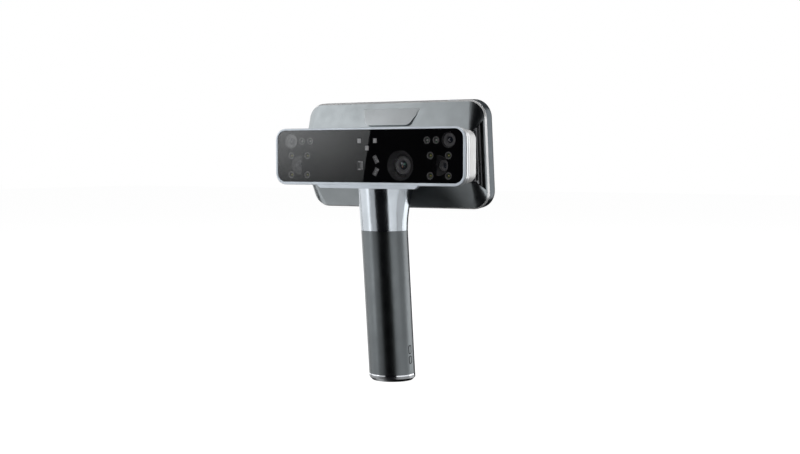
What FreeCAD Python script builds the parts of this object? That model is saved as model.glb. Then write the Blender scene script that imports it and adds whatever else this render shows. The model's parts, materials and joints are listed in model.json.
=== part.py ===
import FreeCAD, Part
import math
import os
import re

import Sketcher
from FreeCAD import Placement, Rotation, Vector

# Handheld 3-D scanner: a wide camera bar on the front of a flat display head, on a leaning round handle.
# Millimetres, +Z up, the front looks along -Y. The origin is the middle of the flat underside of the base cap.
# The handle and the head lean about X by "lean"; pieces built in that leaning frame say leaning=True.
SIZES = {
    # A cutting tool that goes right through reaches this far
    "reach": 400.0,
    # Handle and stance
    "lean": 5.7,
    "grip_wall": 2.05,
    "tube_wall": 2.0,
    "liner_wall": 1.55,
    "seam_below_can": 8.6,
    "seam_gap": 0.1,
    "cap_height": 4.7,
    "cap_chamfer": 2.4,
    "ring_height": 1.3,
    "cell_radius": 13.25,
    "cell_length": 65.5,
    "can_wall": 1.0,
    "can_gap": 0.3,
    "slip": 0.1,
    # Camera bar
    "window_ahead": 43.35,
    "bar_above_seam": 65.5,
    "window_wide": 190.0,
    "window_tall": 45.5,
    "window_corner": 8.0,
    "window_thick": 0.7,
    "window_recess": 0.3,
    "rim_side": 2.3,
    "rim_end": 2.25,
    "rim_drop": 0.4,
    "rim_thick": 1.2,
    "groove_inset": 1.0,
    "groove_back": 3.2,
    "mask_thick": 1.4,
    "ledge": 0.6,
    "flange_back": 9.2,
    "flange_inset": 0.4,
    "bar_deep": 24.0,
    "shell_inset": 0.8,
    "shell_step": 2.4,
    "bar_wall": 1.8,
    "bar_opening_tall": 41.0,
    "bar_rear_round": 5.0,
    "lip_wide": 105.0,
    "lip_taper": 4.0,
    "lip_drop": 2.7,
    "lip_deep": 4.6,
    # Optics, measured from the middle of the window
    "depth_side": 73.9,
    "depth_height": -8.0,
    "depth_front": 5.7,
    "depth_toe": 16.0,
    "depth_barrel": 4.6,
    "depth_funnel": 8.57,
    "track_side": 80.9,
    "track_height": 13.3,
    "track_disc": 6.79,
    "track_barrel": 5.8,
    "colour_side": 33.84,
    "colour_height": -8.08,
    "colour_front": 5.3,
    "colour_barrel": 7.6,
    "colour_funnel": 13.86,
    "lamp_hole": 3.2,
    "lamp_radius": 1.9,
    "lamp_front": 3.2,
    "white_near": 59.96,
    "white_far": 68.77,
    "white_height": 13.22,
    "infra_near": 63.18,
    "infra_far": 80.65,
    "infra_high": 0.34,
    "infra_low": -16.63,
    "sensor_size": 4.0,
    "sensor_side": 8.1,
    "sensor_high": 13.2,
    "sensor_low": 6.9,
    "pattern_side": -7.5,
    "pattern_height": -8.2,
    "pattern_wide": 6.5,
    "pattern_tall": 8.0,
    "laser_side": 9.0,
    "laser_upper": -2.8,
    "laser_lower": -13.5,
    "laser_wide": 4.6,
    "laser_long": 7.3,
    "laser_turn": 29.0,
    "beam_front": 12.5,
    "beam_thick": 3.5,
    "lamp_board_front": 6.0,
    "lamp_board_thick": 1.0,
    # Display head, in the leaning frame
    "head_above_seam": 64.9,
    "head_wide": 185.2,
    "head_tall": 95.0,
    "head_corner": 16.0,
    "head_wall": 2.0,
    "slope_inset": 1.2,
    "throat_wide": 171.6,
    "throat_tall": 41.0,
    "waist_wide": 174.6,
    "waist_tall": 46.0,
    "waist_corner": 6.0,
    "waist_depth": 13.0,
    "band_front": 24.9,
    "band_deep": 10.6,
    "rear_deep": 1.7,
    "glass_wide": 176.0,
    "glass_tall": 86.0,
    "glass_corner": 10.0,
    "glass_thick": 1.0,
    "panel_wide": 156.0,
    "panel_tall": 74.0,
    "panel_thick": 3.2,
    "chassis_thick": 1.5,
    "board_wide": 158.0,
    "board_tall": 78.0,
    "board_thick": 1.4,
    "board_behind": 2.6,
    "chip_thick": 1.0,
    "sink_deep": 11.0,
    "fin_pitch": 3.2,
    "fin_thick": 0.9,
    "vent_near": 9.5,
    "vent_far": 23.2,
    "vent_short": 19.5,
    "vent_long": 30.0,
    "slat_thick": 1.3,
    "slat_inset": 0.7,
    "badge_above_waist": 4.6,
    "badge_below_top": 5.4,
    "badge_narrow": 42.0,
    "badge_broad": 58.0,
    "badge_proud": 2.0,
    "blower_side": 56.0,
    "blower_radius": 20.0,
    "blower_front": 15.0,
    "blower_deep": 10.5,
    "rotor_radius": 16.5,
    "rotor_gap": 0.8,
    # Neck
    "neck_wall": 2.0,
    "neck_front_flare": 0.9,
    "neck_side_flare": 5.8,
    "neck_flare_height": 34.5,
    "neck_seam": -1.1,
    "contact_thick": 4.3,
    "core_collar": 18.3,
    "core_reach": 30.3,
    "neck_above_seam": 51.5,
    # Keys
    "pad_below_seam": 22.3,
    "pad_wide": 17.0,
    "pad_tall": 37.5,
    "pad_proud": 0.25,
    "pad_gap": 0.15,
    "key_gap": 0.3,
    "key_proud": 0.6,
    "pad_depth": 2.95,
    "key_depth": 1.75,
    "board_depth": 4.1,
    "dome_depth": 3.55,
    "scan_above_pad": 9.1,
    "scan_radius": 6.2,
    "rocker_below_pad": 7.8,
    "rocker_wide": 9.0,
    "rocker_tall": 16.0,
    "power_side": 60.0,
    "power_behind": 3.7,
    "power_long": 9.0,
    "power_wide": 3.0,
    "port_above_middle": 5.6,
    "port_behind": 4.6,
    "port_long": 9.2,
    "port_wide": 3.2,
    "cover_long": 16.0,
    "cover_wide": 6.4,
    "cover_thick": 1.1,
    "cover_room": 1.3,
}

# Sizes that follow from the ones above.
DERIVED = {
    "can_radius": "cell_radius + can_gap + can_wall",
    "handle_bore": "can_radius + can_gap",
    "liner_radius": "handle_bore + liner_wall",
    "tube_radius": "liner_radius + slip + tube_wall",
    "grip_radius": "tube_radius + slip + grip_wall",
    "pad_rear": "grip_radius - pad_depth",
    "key_rear": "grip_radius - key_depth",
    "board_front_face": "grip_radius - board_depth",
    "dome_front": "grip_radius - dome_depth",
    "grip_low": "cap_height + ring_height",
    "can_low": "cap_height + 2.4",
    "can_high": "can_low + can_wall + 2 * cell_length + 4",
    "seam_height": "can_high - seam_below_can",
    "grip_top": "seam_height - seam_gap",
    "core_low": "can_high + can_gap + contact_thick",
    "core_shoulder": "core_low + core_collar",
    "core_top": "core_low + core_reach",
    "bar_middle": "seam_height + bar_above_seam",
    "head_middle": "seam_height + head_above_seam",
    "port_height": "head_middle + port_above_middle",
    "band_back": "band_front + band_deep",
    "head_back": "band_back + rear_deep",
    "board_front": "band_front + board_behind",
    "power_depth": "band_front + power_behind",
    "port_depth": "band_front + port_behind",
    "pad_middle": "seam_height - pad_below_seam",
    "scan_height": "pad_middle + scan_above_pad",
    "rocker_height": "pad_middle - rocker_below_pad",
    "badge_low": "head_middle + waist_tall / 2 + badge_above_waist",
    "badge_high": "head_middle + head_tall / 2 - badge_below_top",
    "rim_wide": "window_wide + 2 * rim_side",
    "rim_tall": "window_tall + 2 * rim_end",
    "rim_corner": "window_corner + rim_end + 0.25",
    "rim_middle": "bar_middle - rim_drop",
    "rim_under": "rim_middle - rim_tall / 2",
    "pocket_wide": "window_wide + 2 * slip",
    "pocket_tall": "window_tall + 2 * slip",
    "mask_front": "window_recess + window_thick + slip / 2",
    "mask_back": "mask_front + mask_thick",
    "shell_wide": "rim_wide - 2 * shell_inset",
    "shell_tall": "rim_tall - 2 * shell_step",
    "slope_wide": "head_wide - 2 * slope_inset",
    "slope_tall": "head_tall - 2 * slope_inset",
    "slope_corner": "head_corner - slope_inset",
    "slope_rise": "(slope_tall - waist_tall) / 2 / (band_front - waist_depth)",
    "band_inner_wide": "head_wide - 2 * head_wall - 0.8",
    "band_inner_tall": "head_tall - 2 * head_wall - 0.8",
    "band_inner_corner": "head_corner - head_wall",
    "neck_low": "seam_height - 8",
    "neck_high": "seam_height + neck_above_seam",
}

doc = FreeCAD.newDocument("handheld_scanner")
sizes = doc.addObject("Spreadsheet::Sheet", "sizes")
for row, (alias, value) in enumerate(SIZES.items(), start=1):
    sizes.set(f"A{row}", alias)
    sizes.set(f"B{row}", str(value))
    sizes.setAlias(f"B{row}", alias)
doc.recompute()

nodes = []


# ---------------------------------------------------------------- expressions and places

def bound(expression):
    """The expression with every size name pointed at the sheet, and every derived name written out."""
    return re.sub(r"[a-z]+(?:_[a-z]+)*", lambda word: spelled_out(word.group()), str(expression))


def spelled_out(word):
    if word in DERIVED:
        return f"({bound(DERIVED[word])})"
    return f"sizes.{word}" if word in SIZES else word


def number(expression):
    """The value of an expression, worked out by the sheet."""
    return float(sizes.evalExpression(bound(expression)))


def bind(thing, **properties):
    """Binds properties to expressions; a double underscore stands for a dot in the property's path."""
    for path, expression in properties.items():
        thing.setExpression(path.replace("__", "."), bound(expression))
    return thing


def place(thing, across="0", depth="0", height="0"):
    """Puts an unturned piece at a point."""
    return bind(thing, Placement__Base__x=across, Placement__Base__y=depth, Placement__Base__z=height)


def leant(thing):
    """Leans a piece with the handle."""
    thing.Placement = Placement(Vector(0, 0, 0), Rotation(Vector(1, 0, 0), 1))
    return bind(thing, Placement__Rotation__Angle="lean")


def behind(depth):
    """The row depth of a point that lies this far behind the window's plane."""
    return f"-window_ahead + ({depth})"


def at_bar(height):
    """The row height of a point measured from the window's middle."""
    return f"bar_middle + ({height})"


def at_head(height):
    """The leaning height of a point measured from the head's middle."""
    return f"head_middle + ({height})"


def node(thing, label):
    """Files a finished piece as a node."""
    thing.Label = label
    nodes.append(thing)
    return thing


# ---------------------------------------------------------------- sketches and bodies

def new_body(name, leaning=False):
    body = doc.addObject("PartDesign::Body", name)
    if leaning:
        leant(body)
    return body


def new_sketch(body, role, offset="0"):
    """A sketch on one of the body's own planes, moved along that plane's normal."""
    sketch = body.newObject("Sketcher::SketchObject", body.Name + "_sketch")
    plane = next(item for item in body.Origin.OriginFeatures if item.Role == role)
    sketch.AttachmentSupport = [(plane, "")]
    sketch.MapMode = "FlatFace"
    bind(sketch, AttachmentOffset__Base__z=offset)
    return sketch


def dimension(sketch, label, constraint, expression):
    index = sketch.addConstraint(constraint)
    sketch.renameConstraint(index, label)
    bind(sketch, **{"Constraints__" + label: expression})


def draw_rounded(sketch, wide, tall, corner, across="0", height="0"):
    """A rounded rectangle about (across, height)."""
    half_wide, half_tall = number(wide) / 2, number(tall) / 2
    radius = number(corner)
    mid_x, mid_y = number(across), number(height)
    quarter = math.pi / 2

    def line(start, end):
        return sketch.addGeometry(Part.LineSegment(spot(*start), spot(*end)), False)

    def spot(x, y):
        return Vector(mid_x + x, mid_y + y, 0)

    def arc(sign_x, sign_y, first):
        centre = spot(sign_x * (half_wide - radius), sign_y * (half_tall - radius))
        circle = Part.Circle(centre, Vector(0, 0, 1), radius)
        return sketch.addGeometry(Part.ArcOfCircle(circle, first, first + quarter), False)

    inner_x, inner_y = half_wide - radius, half_tall - radius
    outline = [
        line((-inner_x, -half_tall), (inner_x, -half_tall)),
        arc(1, -1, -quarter),
        line((half_wide, -inner_y), (half_wide, inner_y)),
        arc(1, 1, 0),
        line((inner_x, half_tall), (-inner_x, half_tall)),
        arc(-1, 1, quarter),
        line((-half_wide, inner_y), (-half_wide, -inner_y)),
        arc(-1, -1, 2 * quarter),
    ]
    bottom, _, right, _, top, _, left, _ = outline
    arcs = outline[1::2]
    make = Sketcher.Constraint
    rules = [make("Tangent", outline[i], 2, outline[(i + 1) % 8], 1) for i in range(8)]
    rules += [make("Horizontal", bottom), make("Horizontal", top), make("Vertical", right), make("Vertical", left)]
    rules += [make("Equal", arcs[i], arcs[i + 1]) for i in range(3)]
    sketch.addConstraint(rules)
    dimension(sketch, "corner", make("Radius", arcs[0], radius), corner)
    dimension(sketch, "right", make("DistanceX", -1, 1, right, 1, mid_x + half_wide), f"({across}) + ({wide}) / 2")
    dimension(sketch, "left", make("DistanceX", left, 1, -1, 1, half_wide - mid_x), f"({wide}) / 2 - ({across})")
    dimension(sketch, "top", make("DistanceY", -1, 1, top, 1, mid_y + half_tall), f"({height}) + ({tall}) / 2")
    dimension(sketch, "bottom", make("DistanceY", bottom, 1, -1, 1, half_tall - mid_y), f"({tall}) / 2 - ({height})")


def draw_polygon(sketch, corners):
    """A closed outline through corners, each a pair of expressions."""
    spots = [Vector(number(x), number(y), 0) for x, y in corners]
    lines = [sketch.addGeometry(Part.LineSegment(spots[i - 1], spot), False) for i, spot in enumerate(spots)]
    for i in range(len(lines)):
        sketch.addConstraint(Sketcher.Constraint("Coincident", lines[i - 1], 2, lines[i], 1))
    for i, (x, y) in enumerate(corners):
        for axis, expression, value in (("X", x, spots[i].x), ("Y", y, spots[i].y)):
            rule = Sketcher.Constraint("Distance" + axis, -1, 1, lines[i], 2, value)
            dimension(sketch, f"corner_{axis}_{i}", rule, expression)


def slab(name, front, back, wide, tall, corner, across="0", height="0", leaning=False):
    """A rounded plate that faces the front, from one depth to another."""
    body = new_body(name, leaning)
    add_slab(body, front, back, wide, tall, corner, across, height)
    return body


def add_slab(body, front, back, wide, tall, corner, across="0", height="0"):
    sketch = new_sketch(body, "XZ_Plane", f"-({back})")
    draw_rounded(sketch, wide, tall, corner, across, height)
    pad = body.newObject("PartDesign::Pad", body.Name + "_pad")
    pad.Profile = sketch
    bind(pad, Length=f"({back}) - ({front})")
    doc.recompute()
    return pad


def window_in(body, front, back, wide, tall, corner, across="0", height="0"):
    """Cuts a rounded opening from one depth to another, and checks that it removed something."""
    before = body.Shape.Volume
    sketch = new_sketch(body, "XZ_Plane", f"-({front})")
    draw_rounded(sketch, wide, tall, corner, across, height)
    pocket = body.newObject("PartDesign::Pocket", body.Name + "_pocket")
    pocket.Profile = sketch
    bind(pocket, Length=f"({back}) - ({front})")
    doc.recompute()
    if body.Shape.Volume >= before:
        raise RuntimeError(f"{body.Name}: the opening cuts nothing")
    return body


def edges_where(shape, test):
    """Names of the edges whose middle passes the test."""
    names = []
    for index, edge in enumerate(shape.Edges, start=1):
        middle = edge.valueAt((edge.FirstParameter + edge.LastParameter) / 2)
        if test(middle, edge):
            names.append(f"Edge{index}")
    return names


def dress_edges(body, kind, expression, test):
    """A fillet or chamfer on the edges of the body's last feature whose middles pass the test."""
    base = body.Tip
    dress = body.newObject("PartDesign::" + kind, body.Name + "_" + kind.lower())
    names = edges_where(base.Shape, test)
    dress.Base = (base, names)
    size = "Radius" if kind == "Fillet" else "Size"
    bind(dress, **{size: expression})
    doc.recompute()
    return body


# ---------------------------------------------------------------- primitives and booleans

def block(name, wide, deep, tall, across="0", front="0", height="0"):
    """A box centred across and in height, from its front depth."""
    box = doc.addObject("Part::Box", name)
    bind(box, Length=wide, Width=deep, Height=tall)
    return place(box, f"({across}) - ({wide}) / 2", front, f"({height}) - ({tall}) / 2")


def post(name, radius, low, high, across="0", depth="0"):
    """An upright cylinder."""
    cylinder = doc.addObject("Part::Cylinder", name)
    bind(cylinder, Radius=radius, Height=f"({high}) - ({low})")
    return place(cylinder, across, depth, low)


def barrel(name, radius, front, back, across="0", height="0"):
    """A cylinder along the depth."""
    cylinder = doc.addObject("Part::Cylinder", name)
    cylinder.Placement = Placement(Vector(0, 0, 0), Rotation(Vector(1, 0, 0), -90))
    bind(cylinder, Radius=radius, Height=f"({back}) - ({front})")
    return place(cylinder, across, front, height)


def funnel(name, radius_front, radius_back, front, back, across="0", height="0"):
    """A cone along the depth."""
    cone = doc.addObject("Part::Cone", name)
    cone.Placement = Placement(Vector(0, 0, 0), Rotation(Vector(1, 0, 0), -90))
    bind(cone, Radius1=radius_front, Radius2=radius_back, Height=f"({back}) - ({front})")
    return place(cone, across, front, height)


def group(name, pieces):
    """Several pieces as one shape, fused where they meet, with a Placement of its own."""
    pieces = list(pieces)
    if len(pieces) == 1:
        wrapped = doc.addObject("Part::Compound", name)
        wrapped.Links = pieces
        return wrapped
    fused = doc.addObject("Part::MultiFuse", name)
    fused.Shapes = pieces
    return fused


def cut(name, base, *tools):
    """The base with every tool taken away."""
    result = doc.addObject("Part::Cut", name)
    result.Base = base
    result.Tool = tools[0] if len(tools) == 1 else group(name + "_tools", tools)
    return result


def common(name, first, second):
    result = doc.addObject("Part::MultiCommon", name)
    result.Shapes = [first, second]
    return result


def free_shape(name, shape):
    feature = doc.addObject("Part::Feature", name)
    feature.Shape = shape
    return feature


SIDES = (("left", "-1"), ("right", "1"))


# ---------------------------------------------------------------- camera bar



def make_front_bezel():
    body = slab("bezel_plate", behind("0"), behind("rim_thick"), "rim_wide", "rim_tall", "rim_corner", height="rim_middle")
    window_in(body, behind("0"), behind("rim_thick"), "pocket_wide", "pocket_tall", "window_corner", height="bar_middle")
    sketch = new_sketch(body, "XZ_Plane", f"-({behind('lip_deep')})")
    low = "rim_under - lip_drop"
    high = "rim_under + 1"
    draw_polygon(sketch, [
        ("lip_wide / 2 - lip_taper", low),
        ("lip_wide / 2", high),
        ("-lip_wide / 2", high),
        ("-lip_wide / 2 + lip_taper", low),
    ])
    lip = body.newObject("PartDesign::Pad", "bezel_lip")
    lip.Profile = sketch
    bind(lip, Length="lip_deep")
    doc.recompute()
    trim = block("lip_trim", "rim_wide", "flange_back", "rim_tall", front=behind("rim_thick"), height="rim_middle")
    return node(cut("front_bezel_cut", body, trim), "front_bezel")


def make_window():
    front = behind("window_recess")
    back = behind("window_recess + window_thick")
    body = slab("front_window", front, back, "window_wide", "window_tall", "window_corner", height="bar_middle")
    return node(body, "front_window")


def make_window_frame():
    wide = "rim_wide - 2 * groove_inset"
    tall = "rim_tall - 2 * groove_inset"
    corner = "rim_corner - groove_inset"
    body = slab("window_frame", behind("rim_thick"), behind("groove_back"), wide, tall, corner, height="rim_middle")
    window_in(body, behind("rim_thick"), behind("mask_back"), "pocket_wide", "pocket_tall", "window_corner",
              height="bar_middle")
    window_in(body, behind("mask_back"), behind("groove_back"), "window_wide - 2 * ledge", "window_tall - 2 * ledge",
              "window_corner - ledge", height="bar_middle")
    return node(body, "window_frame")


def toed(thing, sign, depth):
    """Turns a piece, built along the depth from its own origin, to a depth camera's axis at a given depth."""
    thing.Placement = Placement(Vector(0, 0, 0), Rotation(Vector(0, 0, 1), 1))
    bind(thing, Placement__Rotation__Angle=f"-({sign}) * depth_toe")
    shift = f"(({depth}) - depth_front) * tan(depth_toe)"
    return place(thing, f"({sign}) * (depth_side + {shift})", behind(depth), at_bar("depth_height"))


def lamp_places():
    """White lamps first, then infrared ones, each as (name, across, height)."""
    for label, side in SIDES:
        for key in ("white_near", "white_far"):
            yield f"{key}_{label}", f"{side} * {key}", "white_height"
    for label, side in SIDES:
        for key in ("infra_near", "infra_far"):
            for height in ("infra_high", "infra_low"):
                yield f"{key}_{height}_{label}", f"{side} * {key}", height


def laser_turned(thing, sign, depth, height):
    """Turns a flat laser part about the depth axis, leaning its long side outwards."""
    thing.Placement = Placement(Vector(0, 0, 0), Rotation(Vector(0, 1, 0), 1))
    bind(thing, Placement__Rotation__Angle=f"({sign}) * laser_turn")
    return place(thing, "laser_side", behind(depth), at_bar(height))


def own_block(name, wide, deep, tall):
    """A box about its own depth axis, starting at depth 0, wrapped so that it can be turned."""
    return group(name, [block(name + "_box", wide, deep, tall)])


def make_mask():
    plate = slab("mask_plate", behind("mask_front"), behind("mask_back"), "window_wide", "window_tall", "window_corner",
                 height="bar_middle")
    front, back = "mask_front - 1", "mask_back + 1"
    colour = ("colour_side", at_bar("colour_height"))
    slope = "(colour_funnel - colour_barrel) / (colour_front - 0.3)"
    walls = [funnel("mask_colour_wall", "colour_funnel", "colour_barrel + 1.0", behind("mask_front"),
                    behind("colour_front - 0.3"), *colour)]
    holes = [funnel("mask_colour_hole", f"colour_funnel + 0.2 - {slope} * ({front})", "colour_barrel + 0.2",
                    behind(front), behind("colour_front"), *colour)]
    for label, side in SIDES:
        wall = funnel("mask_wall_" + label, "depth_funnel + 0.6", "depth_barrel + 1.6", "0", "3.6")
        walls.append(toed(group("mask_wall_turn_" + label, [wall]), side, "mask_front + 0.3"))
        hole = funnel("mask_hole_" + label, "depth_funnel + 0.6", "depth_barrel + 0.6", "-1.2", "6")
        holes.append(toed(group("mask_hole_turn_" + label, [hole]), side, "mask_front + 0.3"))
        holes.append(barrel("mask_track_" + label, "track_disc", behind(front), behind(back), f"{side} * track_side",
                            at_bar("track_height")))
    for name, across, height in lamp_places():
        holes.append(barrel("mask_" + name, "lamp_hole", behind(front), behind(back), across, at_bar(height)))
    for name, across, height in sensor_places():
        holes.append(block("mask_" + name, "sensor_size", "4", "sensor_size", across, behind(front), at_bar(height)))
    holes.append(block("mask_pattern", "pattern_wide", "4", "pattern_tall", "pattern_side", behind(front),
                       at_bar("pattern_height")))
    for name, height, sign in laser_places():
        tool = own_block("mask_" + name, "laser_wide", "4", "laser_long")
        holes.append(laser_turned(tool, sign, front, height))
    solid = group("mask_solid", [plate] + walls)
    skirt = slab("mask_front_trim", behind("-2"), behind("mask_front"), "window_wide + 20", "window_tall + 20", "5",
                 height="bar_middle")
    return node(cut("optics_mask_cut", solid, skirt, *holes), "optics_mask")


def sensor_places():
    yield "sensor_left", "-sensor_side", "sensor_high"
    yield "sensor_right", "sensor_side", "sensor_high"
    yield "sensor_low", "0", "sensor_low"


def laser_places():
    yield "laser_module_upper", "laser_upper", "-1"
    yield "laser_module_lower", "laser_lower", "1"


def make_lamps():
    white, infra = [], []
    for name, across, height in lamp_places():
        kind = white if name.startswith("white") else infra
        kind.append(barrel(name, "lamp_radius", behind("lamp_front"), behind("lamp_board_front"), across,
                           at_bar(height)))
    node(group("white_lamps_group", white), "white_lamps")
    node(group("infrared_lamps_group", infra), "infrared_lamps")


def make_lamp_boards():
    boards = []
    for label, side in SIDES:
        board = block("lamp_plate_" + label, "37", "lamp_board_thick", "36", f"{side} * 71.5",
                      behind("lamp_board_front"), at_bar("-rim_drop"))
        back = "lamp_board_front + lamp_board_thick + 1"
        shift = "(lamp_board_front - depth_front) * tan(depth_toe)"
        track = barrel("lamp_track_" + label, "track_barrel + 0.3", behind("lamp_board_front - 1"), behind(back),
                       f"{side} * track_side", at_bar("track_height"))
        eye = barrel("lamp_eye_" + label, "depth_barrel + 1.2", behind("lamp_board_front - 1"), behind(back),
                     f"{side} * (depth_side + {shift})", at_bar("depth_height"))
        boards.append(cut("lamp_board_cut_" + label, board, track, eye))
    node(group("lamp_board_pair", boards), "lamp_boards")


def make_depth_cameras():
    lenses = []
    for label, side in SIDES:
        tube = barrel("depth_tube_" + label, "depth_barrel", "0", "12.4")
        holder = block("depth_holder_" + label, "10", "2.4", "10", front="12.2")
        bore = barrel("depth_bore_" + label, "depth_barrel - 1", "-1", "2.6")
        node(toed(cut("depth_camera_cut_" + label, group("depth_solid_" + label, [tube, holder]), bore), side,
                  "depth_front"), "depth_camera_" + label)
        glass = barrel("depth_glass_" + label, "depth_barrel - 1.05", "0.9", "1.9")
        dome = doc.addObject("Part::Sphere", "depth_dome_" + label)
        bind(dome, Radius="depth_barrel + 0.4")
        place(dome, depth="depth_barrel + 0.6")
        lenses.append(toed(common("depth_lens_cut_" + label, glass, dome), side, "depth_front"))
    node(group("depth_lens_pair", lenses), "depth_lenses")


def make_tracking_cameras():
    cameras, lenses = [], []
    for label, side in SIDES:
        spot = (f"{side} * track_side", at_bar("track_height"))
        body = barrel("track_tube_" + label, "track_barrel", behind("mask_back + 0.6"), behind("17.2"), *spot)
        holder = block("track_holder_" + label, "11", "3.4", "11", spot[0], behind("17"), spot[1])
        bore = barrel("track_bore_" + label, "3.1", behind("mask_back"), behind("6"), *spot)
        cameras.append(cut("track_camera_cut_" + label, group("track_solid_" + label, [body, holder]), bore))
        lenses.append(barrel("track_glass_" + label, "3.0", behind("2.2"), behind("5.0"), *spot))
    node(group("tracking_camera_pair", cameras), "tracking_cameras")
    node(group("tracking_lens_pair", lenses), "tracking_lenses")


def make_colour_camera():
    spot = ("colour_side", at_bar("colour_height"))
    tube = barrel("colour_tube", "colour_barrel", behind("colour_front"), behind("17.2"), *spot)
    holder = block("colour_holder", "16", "4", "16", spot[0], behind("17"), spot[1])
    bore = funnel("colour_bore", "6.4", "5.0", behind("colour_front"), behind("colour_front + 2.4"), *spot)
    seat = barrel("colour_seat", "5.0", behind("colour_front + 2.3"), behind("colour_front + 5"), *spot)
    node(cut("colour_camera_cut", group("colour_solid", [tube, holder]), bore, seat), "colour_camera")
    glass = barrel("colour_glass", "4.95", behind("colour_front + 2.5"), behind("colour_front + 4.9"), *spot)
    dome = doc.addObject("Part::Sphere", "colour_dome")
    bind(dome, Radius="8")
    place(dome, spot[0], behind("colour_front + 10.1"), spot[1])
    node(common("colour_lens_cut", glass, dome), "colour_lens")


def make_projectors():
    height = at_bar("pattern_height")
    box = block("pattern_box", "9", "8", "11", "pattern_side", behind("mask_back + 0.5"), height)
    recess = block("pattern_recess", "3", "3", "6.6", "pattern_side - 1.4", behind("mask_back"), height)
    node(cut("pattern_projector_cut", box, recess), "pattern_projector")
    lasers = []
    for name, laser_height, sign in laser_places():
        tool = own_block(name + "_body", "laser_wide - 0.2", "9", "laser_long - 0.2")
        lasers.append(laser_turned(tool, sign, "mask_back - 0.8", laser_height))
    node(group("laser_pair", lasers), "laser_modules")
    sensors = [block(name, "sensor_size - 0.1", "1", "sensor_size - 0.1", across, behind("mask_front + 0.1"),
                     at_bar(sensor_height)) for name, across, sensor_height in sensor_places()]
    node(group("light_sensor_group", sensors), "light_sensors")


def make_beam():
    beam = slab("beam_plate", behind("beam_front"), behind("beam_front + beam_thick"), "window_wide - 10", "36", "5",
                height="rim_middle")
    first, last = "beam_front - 1", "beam_front + beam_thick + 1"
    tools = [barrel("beam_colour", "colour_barrel + 0.4", behind(first), behind(last), "colour_side",
                    at_bar("colour_height"))]
    shift = "(beam_front + beam_thick / 2 - depth_front) * tan(depth_toe)"
    for label, side in SIDES:
        tools.append(barrel("beam_track_" + label, "track_barrel + 0.3", behind(first), behind(last),
                            f"{side} * track_side", at_bar("track_height")))
        tools.append(barrel("beam_depth_" + label, "depth_barrel + 1.1", behind(first), behind(last),
                            f"{side} * (depth_side + {shift})", at_bar("depth_height")))
    tools.append(block("beam_slot", "30", "8", "24", "-30", behind(first), at_bar("-rim_drop")))
    for label, across, height in screw_places():
        tools.append(barrel("beam_screw_hole_" + label, "1.3", behind(first), behind(last), across, at_bar(height)))
    node(cut("optics_beam_cut", beam, *tools), "optics_beam")
    screws = []
    for label, across, height in screw_places():
        head = barrel("beam_screw_head_" + label, "2.2", behind("beam_front - 1.6"), behind("beam_front"), across,
                      at_bar(height))
        shank = barrel("beam_screw_" + label, "1.2", behind("beam_front - 0.4"), behind("bar_deep - bar_wall"),
                       across, at_bar(height))
        screws.append(group("beam_screw_whole_" + label, [head, shank]))
    node(group("beam_screw_group", screws), "optics_screws")


def screw_places():
    for label, side in SIDES:
        for level, height in (("high", "12"), ("low", "-13.5")):
            yield f"{label}_{level}", f"{side} * 50", height


def make_bar_frame():
    body = slab("bar_frame", behind("groove_back"), behind("flange_back"), "rim_wide - 2 * flange_inset",
                "rim_tall - 2 * flange_inset", "rim_corner - flange_inset", height="rim_middle")
    window_in(body, behind("groove_back"), behind("flange_back"), "window_wide - 2.5", "bar_opening_tall", "5",
              height="rim_middle")
    return node(body, "bar_frame")


def make_bar_shell():
    body = slab("bar_shell", behind("flange_back"), behind("bar_deep"), "shell_wide", "shell_tall", "9",
                height="rim_middle")
    rear = number(behind("bar_deep"))
    dress_edges(body, "Fillet", "bar_rear_round", lambda middle, edge: abs(middle.y - rear) < 0.01)
    window_in(body, behind("flange_back"), behind("bar_deep - bar_wall"), "shell_wide - 2 * bar_wall",
              "shell_tall - 2 * bar_wall", "9 - bar_wall", height="rim_middle")
    window_in(body, behind("bar_deep - bar_wall"), behind("bar_deep + 1"), "throat_wide - 20", "throat_tall - 10",
              "4", height="rim_middle")
    return node(body, "bar_shell")


# ---------------------------------------------------------------- display head



def shell_loft(name, inset):
    """The head's front as a throat that widens into a flared frustum, made smaller all round by an inset."""
    body = new_body(name, leaning=True)
    sections = (
        ("-4", "throat_wide", "throat_tall", "waist_corner"),
        ("waist_depth", "waist_wide", "waist_tall", "waist_corner"),
        ("band_front", "slope_wide", "slope_tall", "slope_corner"),
    )
    sketches = []
    for depth, wide, tall, corner in sections:
        sketch = new_sketch(body, "XZ_Plane", f"-({depth})")
        draw_rounded(sketch, f"{wide} - 2 * ({inset})", f"{tall} - 2 * ({inset})", f"{corner} - ({inset})",
                     height="head_middle")
        sketches.append(sketch)
    doc.recompute()
    loft = body.newObject("PartDesign::AdditiveLoft", name + "_loft")
    loft.Profile = sketches[0]
    loft.Sections = sketches[1:]
    loft.Ruled = True
    doc.recompute()
    return body


def trapezoid_prism(name, near, far, short, long, wide):
    """A prism through both sides of the head, its outline a trapezoid in depth and height."""
    body = new_body(name, leaning=True)
    sketch = new_sketch(body, "YZ_Plane", f"-({wide}) / 2")
    draw_polygon(sketch, [
        (near, at_head(f"-({short})")),
        (far, at_head(f"-({long})")),
        (far, at_head(long)),
        (near, at_head(short)),
    ])
    pad = body.newObject("PartDesign::Pad", name + "_pad")
    pad.Profile = sketch
    bind(pad, Length=wide)
    doc.recompute()
    return body


def row_box(name, wide, front, back, low, high):
    """A box in the upright frame, centred across."""
    return block(name, wide, f"({back}) - ({front})", f"({high}) - ({low})", "0", front, f"(({high}) + ({low})) / 2")


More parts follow.
